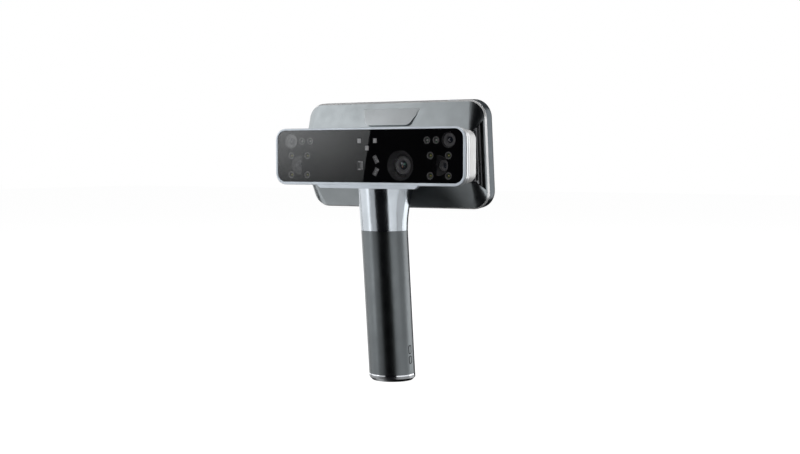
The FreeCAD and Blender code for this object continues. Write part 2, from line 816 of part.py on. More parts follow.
def make_head_front_shell():
    outer = shell_loft("front_outer", "0")
    inner = shell_loft("front_inner", "head_wall")
    vents = trapezoid_prism("front_vents", "vent_near", "vent_far", "vent_short", "vent_long", "head_wide + 10")
    ahead = row_box("front_ahead", "reach", behind("-reach"), behind("bar_deep"), "0", "reach")
    neck_way = leant(group("front_neck_way", [block("front_neck_box", "30", "26", "30", front="-2",
                                                    height="core_top - 8")] + [post("front_wire_way", "8", "core_low - 1",
                                                                                   "core_top + 8", depth="8")]))
    return node(cut("front_shell_cut", outer, inner, vents, ahead, neck_way), "head_front_shell")


def make_vent_grilles():
    count = 3
    pitch = f"(vent_far - vent_near) / {count + 1}"
    for label, side in SIDES:
        pieces = []
        for slat in range(1, count + 1):
            depth = f"vent_near + {slat} * {pitch}"
            reach = f"vent_short + (vent_long - vent_short) * {slat} / {count + 1} - 0.8"
            inner = "throat_wide / 2 - head_wall - 2.4"
            outer = f"waist_wide / 2 - slat_inset + max(0; {depth} - waist_depth) * (slope_wide - waist_wide) / 2 " \
                    "/ (band_front - waist_depth)"
            pieces.append(block(f"slat_{label}_{slat}", f"({outer}) - ({inner})", "slat_thick", f"2 * ({reach})",
                                f"{side} * (({outer}) + ({inner})) / 2", f"{depth} - slat_thick / 2", "head_middle"))
        for level in ("-1", "1"):
            rail = block(f"rail_{label}_{'low' if level == '-1' else 'high'}", "1.4", "vent_far - vent_near - 3", "3",
                         f"{side} * (throat_wide / 2 - head_wall - 1.7)", "vent_near + 1.5",
                         at_head(f"{level} * (vent_short - 4)"))
            pieces.append(rail)
        node(leant(group("vent_grille_group_" + label, pieces)), "vent_grille_" + label)


def make_badge():
    """A blank wedge on the upper slope: proud at its lower edge, level with the slope at its upper edge."""
    outline = new_body("badge_outline", leaning=True)
    sketch = new_sketch(outline, "XZ_Plane", "-(band_front + 5)")
    draw_polygon(sketch, [
        ("badge_narrow / 2", "badge_low"),
        ("badge_broad / 2 - 3", "badge_low + 4"),
        ("badge_broad / 2", "badge_high"),
        ("-badge_broad / 2", "badge_high"),
        ("-badge_broad / 2 + 3", "badge_low + 4"),
        ("-badge_narrow / 2", "badge_low"),
    ])
    pad = outline.newObject("PartDesign::Pad", "badge_outline_pad")
    pad.Profile = sketch
    bind(pad, Length="band_front + 5")
    profile = new_body("badge_profile", leaning=True)
    side = new_sketch(profile, "YZ_Plane", "-badge_broad")

    def on_slope(height):
        return f"waist_depth + (({height}) - head_middle - waist_tall / 2) / (slope_rise)"

    draw_polygon(side, [
        (f"{on_slope('badge_low')} - badge_proud", "badge_low"),
        (on_slope("badge_low"), "badge_low"),
        (on_slope("badge_high"), "badge_high"),
    ])
    wedge = profile.newObject("PartDesign::Pad", "badge_profile_pad")
    wedge.Profile = side
    bind(wedge, Length="2 * badge_broad")
    doc.recompute()
    return node(common("badge_cut", outline, profile), "badge_plate")




def make_head_frame():
    body = slab("head_frame_ring", "band_front", "band_back", "head_wide", "head_tall", "head_corner",
                height="head_middle", leaning=True)
    front = number("band_front")
    dress_edges(body, "Chamfer", "slope_inset", lambda middle, edge: abs(middle.y - front) < 0.01)
    window_in(body, "band_front", "band_back", "band_inner_wide", "band_inner_tall", "band_inner_corner",
              height="head_middle")
    top = at_head("head_tall / 2")
    power = block("power_hole", "power_long + 2 * pad_gap", "power_wide + 2 * pad_gap", "12", "power_side",
                  "power_depth - power_wide / 2 - pad_gap", top)
    port = block("port_hole", "12", "port_wide + 0.2", "port_long + 0.2", "-head_wide / 2",
                 "port_depth - port_wide / 2 - 0.1", "port_height")
    room = block("cover_room_box", "2 * cover_thick", "cover_wide + 2 * pad_gap", "cover_long + cover_room + 0.2",
                 "-head_wide / 2", "port_depth - cover_wide / 2 - pad_gap", "port_height + 0.1 - cover_room / 2")
    node(cut("head_frame_cut", body, leant(group("head_frame_holes", [power, port, room]))), "head_frame")


def make_display():
    rear = slab("rear_bezel", "band_back", "head_back", "head_wide", "head_tall", "head_corner", height="head_middle",
                leaning=True)
    window_in(rear, "band_back", "head_back + 1", "glass_wide + 2 * slip", "glass_tall + 2 * slip",
              "glass_corner + slip", height="head_middle")
    back = number("head_back")
    dress_edges(rear, "Fillet", "1.1", lambda middle, edge: rear_outer_edge(middle, back))
    node(rear, "rear_bezel")
    glass_back = "head_back - 0.2"
    glass_front = "head_back - 0.2 - glass_thick"
    node(slab("display_glass", glass_front, glass_back, "glass_wide", "glass_tall", "glass_corner",
              height="head_middle", leaning=True), "display_glass")
    panel_front = f"{glass_front} - panel_thick"
    node(slab("display_panel", panel_front, glass_front, "panel_wide", "panel_tall", "2", height="head_middle",
              leaning=True), "display_panel")
    chassis = slab("chassis_flat", f"{panel_front} - chassis_thick", panel_front, "band_inner_wide - 0.4",
                   "band_inner_tall - 0.4", "band_inner_corner", height="head_middle", leaning=True)
    holes = []
    screws = []
    for index, (across, height) in enumerate(CHASSIS_SCREWS):
        holes.append(leant_barrel(f"chassis_hole_{index}", "1.3", "20", "40", across, at_head(height)))
        head = barrel(f"chassis_head_{index}", "2.0", f"{panel_front} - chassis_thick - 1.4",
                      f"{panel_front} - chassis_thick", across, at_head(height))
        shank = barrel(f"chassis_shank_{index}", "1.1", f"{panel_front} - chassis_thick - 0.5", panel_front, across,
                       at_head(height))
        screws.append(group(f"chassis_screw_{index}", [head, shank]))
    node(cut("chassis_plate_cut", chassis, *holes), "chassis_plate")
    node(leant(group("chassis_screw_group", screws)), "chassis_screws")


CHASSIS_SCREWS = (("-82", "-38"), ("-82", "38"), ("82", "-38"), ("82", "38"))


def rear_outer_edge(middle, back):
    wide, tall = number("glass_wide") / 2 + 1, number("glass_tall") / 2 + 1
    outside = abs(middle.x) > wide or abs(middle.z - number("head_middle")) > tall
    return abs(middle.y - back) < 0.01 and outside


def leant_barrel(name, *sizes_and_place):
    return leant(group(name + "_leaning", [barrel(name, *sizes_and_place)]))


def make_electronics():
    node(slab("main_board", "board_front", "board_front + board_thick", "board_wide", "board_tall", "3",
              height="head_middle", leaning=True), "main_board")
    chips = [block(f"chip_{index}", wide, "chip_thick", tall, across, "board_front - chip_thick", at_head(height))
             for index, (wide, tall, across, height) in enumerate(CHIPS)]
    top = at_head("head_tall / 2")
    chips.append(block("power_switch_box", "8", "3.4", "2.4", "power_side", "power_depth - 1.7", f"{top} - 5.4"))
    chips.append(block("power_switch_foot", "10", "3.4", "0.8", "power_side", "power_depth - 1.7", f"{top} - 6.9"))
    node(leant(group("chip_group", chips)), "board_parts")
    base_front = "board_front - chip_thick - 1.5"
    fins = [block("sink_base", "70", "1.5", "38", "-12", base_front, "head_middle")]
    for index in range(-5, 6):
        fins.append(block(f"fin_{index + 5}", "70", "sink_deep - 1.5 + 0.2", "fin_thick", "-12",
                          "board_front - chip_thick - sink_deep", at_head(f"{index} * fin_pitch")))
    node(leant(group("heat_sink_group", fins)), "heat_sink")
    node(leant(group("optics_board_group", [block("optics_board_plate", "140", "1.2", "30", "0", "5", "head_middle"),
                                            block("optics_chip", "16", "1.2", "16", "-20", "6.1", "head_middle")])),
         "optics_board")
    node(leant(group("optics_flex_group", [
        block("flex_run", "16", "board_front - 6.2", "0.3", "-62", "6.2", at_head("8")),
        block("flex_plug", "16", "1.2", "4", "-62", "6.2", at_head("8")),
    ])), "optics_flex")
    antennas = [block("antenna_" + label, "30", "0.8", "6", f"{side} * 45", "band_front + 0.7",
                      at_head("head_tall / 2 - 7.5"))
                for label, side in SIDES]
    node(leant(group("antenna_group", antennas)), "antennas")


CHIPS = (("22", "22", "-20", "0"), ("14", "12", "4", "8"), ("14", "12", "4", "-8"), ("10", "10", "-38", "12"),
         ("12", "8", "-38", "-8"))


def make_blower():
    spot = ("blower_side", "head_middle")
    front, back = "blower_front", "blower_front + blower_deep"
    case = barrel("blower_round", "blower_radius", front, back, *spot)
    duct = block("blower_duct", "blower_radius + 4", "blower_deep", "22", "blower_side + (blower_radius + 4) / 2",
                 front, "head_middle - blower_radius + 11")
    hollow = barrel("blower_hollow", "rotor_radius + rotor_gap + 0.8", "blower_front + 1.0", f"{back} - 1.0", *spot)
    mouth = block("blower_mouth", "blower_radius + 8", "blower_deep - 2", "19",
                  "blower_side + (blower_radius + 8) / 2", "blower_front + 1.0",
                  "head_middle - blower_radius + 11")
    inlet = barrel("blower_inlet", "10", "blower_front - 1", "blower_front + 2", *spot)
    node(leant(cut("blower_case_cut", group("blower_solid", [case, duct]), hollow, mouth, inlet)), "blower_case")
    rotor_front, rotor_back = "blower_front + 1.0 + rotor_gap", f"{back} - 1.0 - rotor_gap"
    blades = [barrel("rotor_hub", "7", rotor_front, rotor_back, *spot),
              cut("rotor_ring", barrel("rotor_ring_out", "rotor_radius", f"{rotor_back} - 1", rotor_back, *spot),
                  barrel("rotor_ring_in", "6", f"{rotor_back} - 2", f"{rotor_back} + 1", *spot))]
    count = 11
    for index in range(count):
        turn = 360 / count * index
        blade = doc.addObject("Part::Box", f"rotor_blade_{index}")
        bind(blade, Length="rotor_radius - 6.5 - 0.2", Width=f"({rotor_back}) - ({rotor_front})", Height="0.8")
        blade.Placement = Placement(Vector(0, 0, 0), Rotation(Vector(0, 1, 0), turn))
        place(blade, f"blower_side + 6.5 * cos({turn})", rotor_front, f"head_middle - 6.5 * sin({turn})")
        blades.append(blade)
    node(leant(group("blower_rotor_group", blades)), "blower_rotor")


def make_side_parts():
    top = at_head("head_tall / 2")
    key = block("power_key", "power_long", "power_wide", "3.4", "power_side", "power_depth - power_wide / 2",
                f"{top} + 0.4 - 1.7")
    node(leant(group("power_key_group", [key, block("power_key_rib", "2", "1.2", "3.8", "power_side",
                                                    "power_depth - 0.6", f"{top} + 0.4 - 1.9")])), "power_button")
    shell = block("port_body", "7.4", "port_wide", "port_long", "-(head_wide / 2 - cover_thick - 3.7)",
                  "port_depth - port_wide / 2", "port_height")
    mouth = block("port_mouth", "6", "port_wide - 0.8", "port_long - 0.8", "-(head_wide / 2 - cover_thick - 2)",
                  "port_depth - port_wide / 2 + 0.4", "port_height")
    tongue = block("port_tongue", "5", "0.7", "port_long - 2.4", "-(head_wide / 2 - cover_thick - 4.4)",
                   "port_depth - 0.35", "port_height")
    node(leant(group("port_socket_group", [cut("port_socket_cut", shell, mouth), tongue])), "port_socket")
    flap = block("cover_flap", "cover_thick", "cover_wide", "cover_long", "-(head_wide / 2 - cover_thick / 2 + 0.2)",
                 "port_depth - cover_wide / 2", "port_height")
    pull = block("cover_pull", "0.5", "cover_wide - 3", "1.4", "-(head_wide / 2 + 0.35)",
                 "port_depth - cover_wide / 2 + 1.5", "port_height + cover_long / 2 - 1.7")
    node(leant(group("port_cover_group", [flap, pull])), "port_cover")


# ---------------------------------------------------------------- neck

def neck_section(height, inset):
    """A closed smooth outline of the neck at a leaning height: round in front, flaring at the sides and the back."""
    rise = max(0.0, (height - number("seam_height")) / number("neck_flare_height"))
    base = number("grip_radius") - inset + number("neck_front_flare") * rise
    flare = number("neck_side_flare") * rise ** 1.8
    points = []
    for step in range(24):
        angle = math.radians(15 * step)
        rearward = min(1.0, max(0.0, (math.sin(angle) + 0.5) / 1.2))
        blend = rearward * rearward * (3 - 2 * rearward)
        radius = base + flare * blend
        points.append(Vector(radius * math.cos(angle), radius * math.sin(angle), height))
    curve = Part.BSplineCurve()
    curve.interpolate(Points=points, PeriodicFlag=True)
    return Part.Wire([curve.toShape()])


def neck_loft(name, inset, low, high):
    start, end = number(low), number(high)
    steps = 5
    wires = [neck_section(start + (end - start) * step / steps, inset) for step in range(steps + 1)]
    return leant(free_shape(name, Part.makeLoft(wires, True, False)))




def make_neck():
    outer = neck_loft("neck_outer", 0.0, "neck_low", "neck_high")
    inner = neck_loft("neck_inner", number("neck_wall"), "neck_low - 1", "neck_high + 1")
    flange = slab("neck_flange_tool", behind("0"), behind("flange_back"), "rim_wide", "rim_tall", "rim_corner",
                  height="rim_middle")
    back_shell = slab("neck_shell_tool", behind("flange_back"), behind("bar_deep"), "shell_wide", "shell_tall", "9",
                      height="rim_middle")
    lip = row_box("neck_lip_tool", "lip_wide", behind("-5"), behind("lip_deep + 0.1"), "rim_under - lip_drop - 0.1",
                  at_bar("0"))
    head = shell_loft("neck_head_tool", "-0.05")
    band = slab("neck_band_tool", "band_front - 0.1", "head_back", "head_wide + 0.2", "head_tall + 0.2",
                "head_corner", height="head_middle", leaning=True)
    below = row_box("neck_below_tool", "reach", "-reach", "reach", "0", "seam_height + seam_gap")
    hollow = cut("neck_hollow", outer, inner, flange, back_shell, lip, head, band, below)
    front_half = leant(group("neck_front_half", [block("neck_front_box", "reach", "reach", "reach", "0",
                                                       "neck_seam - seam_gap / 2 - reach", "seam_height")]))
    rear_half = leant(group("neck_rear_half", [block("neck_rear_box", "reach", "reach", "reach", "0",
                                                     "neck_seam + seam_gap / 2", "seam_height")]))
    node(common("neck_front_cut", hollow, front_half), "neck_front_shell")
    node(common("neck_rear_cut", hollow, rear_half), "neck_rear_shell")


def make_neck_core():
    """The cast joint between the handle's tube and the head, bored for the battery's wires."""
    base = post("core_base", "tube_radius - 0.2", "core_low", "core_shoulder")
    arm = block("core_arm", "26", "17", "core_top - core_shoulder + 4", "0", "1.5",
                "(core_top + core_shoulder) / 2 - 2")
    bore = post("core_bore", "7", "core_low - 1", "core_top + 1", depth="8")
    node(leant(cut("neck_core_cut", group("core_solid", [base, arm]), bore)), "neck_core")
    lead = [post(f"lead_{label}", "0.9", "core_low + 2.2", "core_top + 2", f"{side} * 1.4", "8")
            for label, side in SIDES]
    node(leant(group("lead_group", lead)), "battery_leads")
    node(leant_post("contact_disc", "handle_bore - 1", "can_high + can_gap", "core_low"), "contact_block")


# ---------------------------------------------------------------- handle and battery



def stadium(name, wide, tall, front, back, height):
    """An upright stadium-shaped prism along the depth, in the leaning frame."""
    return slab(name, front, back, wide, tall, f"({wide}) / 2 - 0.01", height=height, leaning=True)


def leant_post(name, radius, low, high):
    """An upright cylinder that leans with the handle."""
    cylinder = post(name, radius, low, high)
    cylinder.Placement = Placement(Vector(0, 0, 0), Rotation(Vector(1, 0, 0), 1))
    bind(cylinder, Placement__Rotation__Angle="lean")
    return place(cylinder, "0", f"-({low}) * sin(lean)", f"({low}) * cos(lean)")


def level_slice(name, piece, low, high):
    """The part of a leaning piece between two level heights."""
    return common(name, piece, row_box(name + "_slice", "reach", "-reach / 2", "reach / 2", low, high))


def make_handle():
    pad_room = stadium("sleeve_pad_room", "pad_wide + 2 * pad_gap", "pad_tall + 2 * pad_gap", "5", "30",
                       "pad_middle")
    sleeve = level_slice("sleeve_level", leant_post("sleeve_round", "grip_radius", "-5", "reach"),
                         "grip_low", "grip_top")
    bore = leant_post("sleeve_bore", "grip_radius - grip_wall", "-10", "reach")
    node(cut("grip_sleeve_cut", sleeve, bore, pad_room), "grip_sleeve")
    tube = leant_post("tube_round", "tube_radius", "grip_low + 2.2", "core_low - 0.2")
    tube_bore = leant_post("tube_bore", "tube_radius - tube_wall", "-10", "reach")
    tube_room = stadium("tube_pad_room", "pad_wide + 2 * pad_gap", "pad_tall + 2 * pad_gap", "5", "30", "pad_middle")
    node(cut("handle_tube_cut", tube, tube_bore, tube_room), "handle_tube")
    liner = leant_post("liner_round", "liner_radius", "grip_low + 2.2", "can_high + can_gap - 0.2")
    liner_bore = leant_post("liner_bore", "handle_bore", "-10", "reach")
    node(cut("battery_liner_cut", liner, liner_bore), "battery_liner")
    ring = level_slice("ring_level", leant_post("ring_round", "grip_radius", "-5", "20"), "cap_height", "grip_low")
    ring_bore = leant_post("ring_bore", "can_radius + can_gap + 0.2", "-10", "30")
    node(cut("base_ring_cut", ring, ring_bore), "base_ring")


def make_battery():
    taper = doc.addObject("Part::Cone", "cap_taper")
    bind(taper, Radius1="grip_radius - cap_chamfer", Radius2="grip_radius - cap_chamfer + cap_height",
         Height="cap_height")
    node(common("base_cap_cut", leant_post("cap_round", "grip_radius", "-5", "20"), taper), "base_cap")
    can = leant_post("can_round", "can_radius", "can_low", "can_high")
    hollow = leant_post("can_hollow", "cell_radius + can_gap", "can_low + can_wall", "can_high + 5")
    groove_outer = leant_post("groove_outer", "can_radius + 5", "11", "12.6")
    groove_inner = leant_post("groove_inner", "can_radius - 0.6", "10", "14")
    foot = level_slice("can_foot", leant_post("can_foot_round", "can_radius", "-5", "can_low + 2"), "cap_height",
                       "cap_height + 8")
    whole = group("can_whole", [can, foot])
    node(cut("battery_can_cut", whole, hollow, cut("can_groove", groove_outer, groove_inner)), "battery_can")
    seal = cut("seal_ring", leant_post("seal_outer", "can_radius + 0.05", "11.1", "12.5"),
               leant_post("seal_inner", "can_radius - 0.6", "10", "14"))
    node(seal, "base_seal")
    cells = [leant_post(f"cell_{index}", "cell_radius", f"can_low + can_wall + {index} * cell_length + 0.1",
                        f"can_low + can_wall + {index + 1} * cell_length") for index in range(2)]
    node(group("cell_group", cells), "battery_cells")
    lid = leant_post("lid_disc", "cell_radius + can_gap - slip", "can_high - 2.8", "can_high - 1.2")
    pads = [post(f"lid_pad_{label}", "2.2", "can_high - 1.4", "can_high - 0.4", f"{side} * 6")
            for label, side in SIDES]
    node(group("battery_lid_group", [lid, leant(group("lid_pads", pads))]), "battery_lid")


# ---------------------------------------------------------------- keypad on the back of the grip

def curved_key(name, outline, radius, rear):
    """A key whose outer face follows the grip: an outline cut to a radius, with a flat rear."""
    skin = common(name + "_skin", outline, leant_post(name + "_skin_round", radius, "0", "reach"))
    rear_box = leant(group(name + "_rear_cut", [
        block(name + "_rear_box", "reach", f"reach + ({rear})", "reach", front="-reach", height="pad_middle"),
    ]))
    return cut(name + "_cut", skin, rear_box)


def make_keypad():
    outline = stadium("pad_outline", "pad_wide", "pad_tall", "5", "30", "pad_middle")
    plate = curved_key("pad", outline, "grip_radius + pad_proud", "pad_rear")
    scan_hole = stadium("pad_scan_hole", "2 * (scan_radius + key_gap)", "2 * (scan_radius + key_gap) + 0.02", "5",
                        "30", "scan_height")
    rocker_hole = stadium("pad_rocker_hole", "rocker_wide + 2 * key_gap", "rocker_tall + 2 * key_gap", "5", "30",
                          "rocker_height")
    node(cut("keypad_bezel_cut", plate, scan_hole, rocker_hole), "keypad_bezel")
    scan = stadium("scan_outline", "2 * scan_radius", "2 * scan_radius + 0.02", "5", "30", "scan_height")
    node(curved_key("scan", scan, "grip_radius + key_proud", "key_rear"), "scan_button")
    rocker = stadium("rocker_outline", "rocker_wide", "rocker_tall", "5", "30", "rocker_height")
    node(curved_key("rocker", rocker, "grip_radius + key_proud", "key_rear"), "rocker_key")
    board = [block("key_board_plate", "12", "0.6", "31", "0", "board_front_face", "pad_middle")]
    for name, height in (("scan", "scan_height"), ("plus", "rocker_height + 5"), ("minus", "rocker_height - 5")):
        board.append(barrel("dome_" + name, "2.2", "dome_front", "key_rear - 0.9", "0", height))
    node(leant(group("key_board_group", board)), "keypad_board")


# ---------------------------------------------------------------- build, check and write

def build():
    make_front_bezel()
    make_window()
    make_window_frame()
    make_mask()
    make_lamps()
    make_lamp_boards()
    make_depth_cameras()
    make_tracking_cameras()
    make_colour_camera()
    make_projectors()
    make_beam()
    make_bar_frame()
    make_bar_shell()
    make_head_front_shell()
    make_vent_grilles()
    make_badge()
    make_head_frame()
    make_display()
    make_electronics()
    make_blower()
    make_side_parts()
    make_neck()
    make_neck_core()
    make_handle()
    make_battery()
    make_keypad()
    doc.recompute()


def check():
    for thing in doc.Objects:
        if "Invalid" in thing.State or "Error" in thing.State:
            raise RuntimeError(f"{thing.Label}: {thing.State}")
    for thing in nodes:
        shape = thing.Shape
        if shape.isNull() or not shape.isValid() or not shape.Solids:
            raise RuntimeError(f"{thing.Label}: the shape is null or not valid")


def write():
    os.makedirs("parts", exist_ok=True)
    for thing in nodes:
        thing.Shape.exportStep(os.path.join("parts", thing.Label + ".step"))
    print(len(nodes), "nodes written")


build()
check()
write()
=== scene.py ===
"""Looks of a handheld 3-D scanner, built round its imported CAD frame."""

import json
import logging
import math
from collections.abc import Callable, Iterable, Sequence
from dataclasses import dataclass, field
from enum import Enum

import bmesh
import bpy
from mathutils import Matrix, Vector

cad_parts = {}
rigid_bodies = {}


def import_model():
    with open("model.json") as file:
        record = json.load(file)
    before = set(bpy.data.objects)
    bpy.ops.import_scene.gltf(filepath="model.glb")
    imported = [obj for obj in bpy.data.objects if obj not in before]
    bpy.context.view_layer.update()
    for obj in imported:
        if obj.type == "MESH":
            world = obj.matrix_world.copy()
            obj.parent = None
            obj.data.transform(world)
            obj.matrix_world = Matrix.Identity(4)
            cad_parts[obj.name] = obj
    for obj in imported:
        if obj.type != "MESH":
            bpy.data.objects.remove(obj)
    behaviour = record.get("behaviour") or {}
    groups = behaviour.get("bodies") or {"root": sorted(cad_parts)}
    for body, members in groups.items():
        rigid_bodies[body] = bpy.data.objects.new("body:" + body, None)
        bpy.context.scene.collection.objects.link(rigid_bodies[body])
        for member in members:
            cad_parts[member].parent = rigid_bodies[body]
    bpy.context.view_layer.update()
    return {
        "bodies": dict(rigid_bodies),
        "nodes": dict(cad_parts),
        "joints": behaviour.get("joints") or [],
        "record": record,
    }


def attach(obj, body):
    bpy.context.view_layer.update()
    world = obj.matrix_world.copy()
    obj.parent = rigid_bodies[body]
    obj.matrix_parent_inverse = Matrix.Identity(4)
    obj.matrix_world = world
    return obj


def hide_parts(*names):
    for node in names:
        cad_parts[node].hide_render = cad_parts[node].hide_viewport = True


LOG = logging.getLogger("scanner")
MM = 0.001
LEAN_DEGREES = 5.7
LEAN = Matrix.Rotation(math.radians(LEAN_DEGREES), 4, "X")
UPRIGHT = Matrix.Identity(4)
Colour = tuple[float, float, float]
Size = tuple[float, float, float]

# The window's plane along Y and the height of its middle.
WINDOW_PLANE = -43.35
WINDOW_MIDDLE = 200.0


# ------------------------------------------------------------------ shader tools

class Grain(Enum):
    """How a finish is worked at close range."""

    FINE = "fine"
    BRUSHED = "brushed"
    PEBBLE = "pebble"
    WEAVE = "weave"


class Wire:
    """A node's output socket that can be used in arithmetic."""

    def __init__(self, graph: "Graph", socket: bpy.types.NodeSocket) -> None:
        """Keeps the graph the socket belongs to."""
        self.graph = graph
        self.socket = socket

    def _math(self, operation: str, *values: "Wire | float") -> "Wire":
        """Adds one Math node."""
        return self.graph.add("ShaderNodeMath", {"operation": operation}, *values)

    def __add__(self, other: "Wire | float") -> "Wire":
        """Sum."""
        return self._math("ADD", self, other)

    def __sub__(self, other: "Wire | float") -> "Wire":
        """Difference."""
        return self._math("SUBTRACT", self, other)

    def __rsub__(self, other: float) -> "Wire":
        """Difference with the number first."""
        return self._math("SUBTRACT", other, self)

    def __mul__(self, other: "Wire | float") -> "Wire":
        """Product."""
        return self._math("MULTIPLY", self, other)

    def __truediv__(self, other: "Wire | float") -> "Wire":
        """Quotient."""
        return self._math("DIVIDE", self, other)

    def __pow__(self, other: float) -> "Wire":
        """Power."""
        return self._math("POWER", self, other)

    def __gt__(self, other: "Wire | float") -> "Wire":
        """1 where this is greater, or else 0."""
        return self._math("GREATER_THAN", self, other)

    def __lt__(self, other: "Wire | float") -> "Wire":
        """1 where this is less, or else 0."""
        return self._math("LESS_THAN", self, other)

    def __abs__(self) -> "Wire":
        """Absolute value."""
        return self._math("ABSOLUTE", self)

    def cycle(self, span: float) -> "Wire":
        """Distance from the nearest multiple of span."""
        return self._math("PINGPONG", self, span / 2)

    def ramp(self, low: float, high: float) -> "Wire":
        """0 at low, 1 at high, smooth between them and level beyond."""
        return self.graph.add(
            "ShaderNodeMapRange", {"interpolation_type": "SMOOTHSTEP"}, self, low, high, 0.0, 1.0
        )

    __radd__ = __add__
    __rmul__ = __mul__


class Graph:
    """The node tree of one material."""

    def __init__(self, tree: bpy.types.NodeTree) -> None:
        """Empties the tree."""
        self.tree = tree
        tree.nodes.clear()

    def add(self, kind: str, settings: dict[str, object] | None = None, *values: object,
            output: int | str = 0, **named: object) -> Wire:
        """Adds a node.

        Args:
            kind: The node's type.
            settings: Its own settings, set before any socket.
            values: What its first inputs get, as wires or constants; None leaves one alone.
            output: The output to return.
            named: What its other inputs get, by name with _ for a space.

        Returns:
            The chosen output.
        """
        node = self.tree.nodes.new(kind)
        for name, value in (settings or {}).items():
            setattr(node, name, value)
        sockets = list(zip(node.inputs, values))
        sockets += [(node.inputs[name.replace("_", " ")], value) for name, value in named.items()]
        for socket, value in sockets:
            if isinstance(value, Wire):
                self.tree.links.new(value.socket, socket)
            elif value is not None:
                socket.default_value = value
        return Wire(self, node.outputs[output]) if node.outputs else Wire(self, None)

    def point(self) -> Wire:
        """Object coordinates in millimetres."""
        place = self.add("ShaderNodeTexCoord", output="Object")
        return self.add("ShaderNodeMapping", {"vector_type": "POINT"}, place, (0, 0, 0), (0, 0, 0),
                        (1 / MM,) * 3)

    def axes(self, place: Wire) -> tuple[Wire, Wire, Wire]:
        """The three numbers of a vector."""
        node = self.tree.nodes.new("ShaderNodeSeparateXYZ")
        self.tree.links.new(place.socket, node.inputs[0])
        return tuple(Wire(self, socket) for socket in node.outputs)

    def blend(self, share: Wire, low: object, high: object) -> Wire:
        """A colour between two."""
        pair = [(*c, 1.0) if isinstance(c, tuple) else c for c in (low, high)]
        node = self.tree.nodes.new("ShaderNodeMix")
        node.data_type = "RGBA"
        self.tree.links.new(share.socket, node.inputs[0])
        for socket, value in zip((node.inputs[6], node.inputs[7]), pair):
            if isinstance(value, Wire):
                self.tree.links.new(value.socket, socket)
            else:
                socket.default_value = value
        return Wire(self, node.outputs[2])

    def noise(self, place: Wire, scale: float, detail: float = 3.0) -> Wire:
        """Cloudy values about 0.5."""
        return self.add("ShaderNodeTexNoise", {"noise_dimensions": "3D"}, place, None, scale, detail)

    def finish(self, shader: Wire) -> None:
        """Ends the tree with a shader."""
        self.add("ShaderNodeOutputMaterial", None, shader)


@dataclass(frozen=True)
class Finish:
    """A surface finish with grain, a little unevenness of colour and gloss, and relief.

    Attributes:
        name: The material's name.
        colour: Linear base colour.
        rough: Roughness.
        metal: Metallic share.
        coat: Clear coat weight.
        grain: The kind of relief.
        pitch: Size of the relief in millimetres.
        relief: Its depth in millimetres.
        uneven: Share by which colour and roughness wander.
        lift: Brighter second colour of the grain, as a share.
        ior: Refractive index.
    """

    name: str
    colour: Colour
    rough: float
    metal: float = 0.0
    coat: float = 0.0
    grain: Grain = Grain.FINE
    pitch: float = 0.35
    relief: float = 0.01
    uneven: float = 0.08
    lift: float = 0.15
    ior: float = 1.5

    def colours(self, graph: Graph, place: Wire, detail: Wire) -> Wire:
        """The base colour: the finish's own, wandering slowly and with the grain."""
        wander = graph.noise(place, 0.035).ramp(0.35, 0.65)
        low = tuple(c * (1 - self.uneven) for c in self.colour)
        high = tuple(min(1.0, c * (1 + self.uneven)) for c in self.colour)
        light = tuple(min(1.0, c * (1 + self.lift)) for c in self.colour)
        return graph.blend(detail * 0.5, graph.blend(wander, low, high), light)

    def detail(self, graph: Graph, place: Wire) -> Wire:
        """The height of the relief, from 0 to 1."""
        if self.grain is Grain.BRUSHED:
            drawn = graph.add("ShaderNodeMapping", None, place, (0, 0, 0), (0, 0, 0), (0.03, 1, 1))
            return graph.noise(drawn, 1 / self.pitch, 2.0)
        if self.grain is Grain.PEBBLE:
            cells = graph.add("ShaderNodeTexVoronoi", {"feature": "SMOOTH_F1"}, place, None, 1 / self.pitch)
            return 1 - cells * 1.2
        if self.grain is Grain.WEAVE:
            x, _, z = graph.axes(place)
            return (x.cycle(self.pitch) + z.cycle(self.pitch)) / self.pitch
        return graph.noise(place, 1 / self.pitch, 4.0)

    def base(self, graph: Graph, place: Wire, detail: Wire) -> dict[str, object]:
        """The sockets of the Principled shader, by name."""
        gloss = graph.noise(place, 0.11).ramp(0.3, 0.7)
        bump = graph.add("ShaderNodeBump", None, Strength=0.6, Distance=self.relief * MM, Height=detail)
        return {
            "Base_Color": self.colours(graph, place, detail),
            "Roughness": self.rough * (1 - self.uneven) + gloss * (2 * self.uneven * self.rough),
            "Metallic": self.metal,
            "Coat_Weight": self.coat,
            "Coat_Roughness": 0.08,
            "IOR": self.ior,
            "Normal": bump,
        }

    def made(self) -> bpy.types.Material:
        """The finished material, made once."""
        name = self.name + "_finish"
        found = bpy.data.materials.get(name)
        if found:
            return found
        material = bpy.data.materials.new(name)
        material.use_nodes = True
        graph = Graph(material.node_tree)
        place = graph.point()
        sockets = self.base(graph, place, self.detail(graph, place))
        graph.finish(graph.add("ShaderNodeBsdfPrincipled", None, **sockets))
        return material


@dataclass(frozen=True)
class Pane(Finish):
    """Clear glass: mostly seen through, with a hard reflection and a breath of smear."""

    clear: float = 0.6

    def base(self, graph: Graph, place: Wire, detail: Wire) -> dict[str, object]:
        """Adds the pane's see-through share."""
        sockets = super().base(graph, place, detail) | {"Alpha": 1 - self.clear, "Roughness": self.rough}
        del sockets["Normal"]
        return sockets


@dataclass(frozen=True)
class Lamp(Finish):
    """A lamp's dome, glowing very faintly."""

    glow: float = 0.1

    def base(self, graph: Graph, place: Wire, detail: Wire) -> dict[str, object]:
        """Adds the glow."""
        return super().base(graph, place, detail) | {
            "Emission_Color": self.colours(graph, place, detail), "Emission_Strength": self.glow}


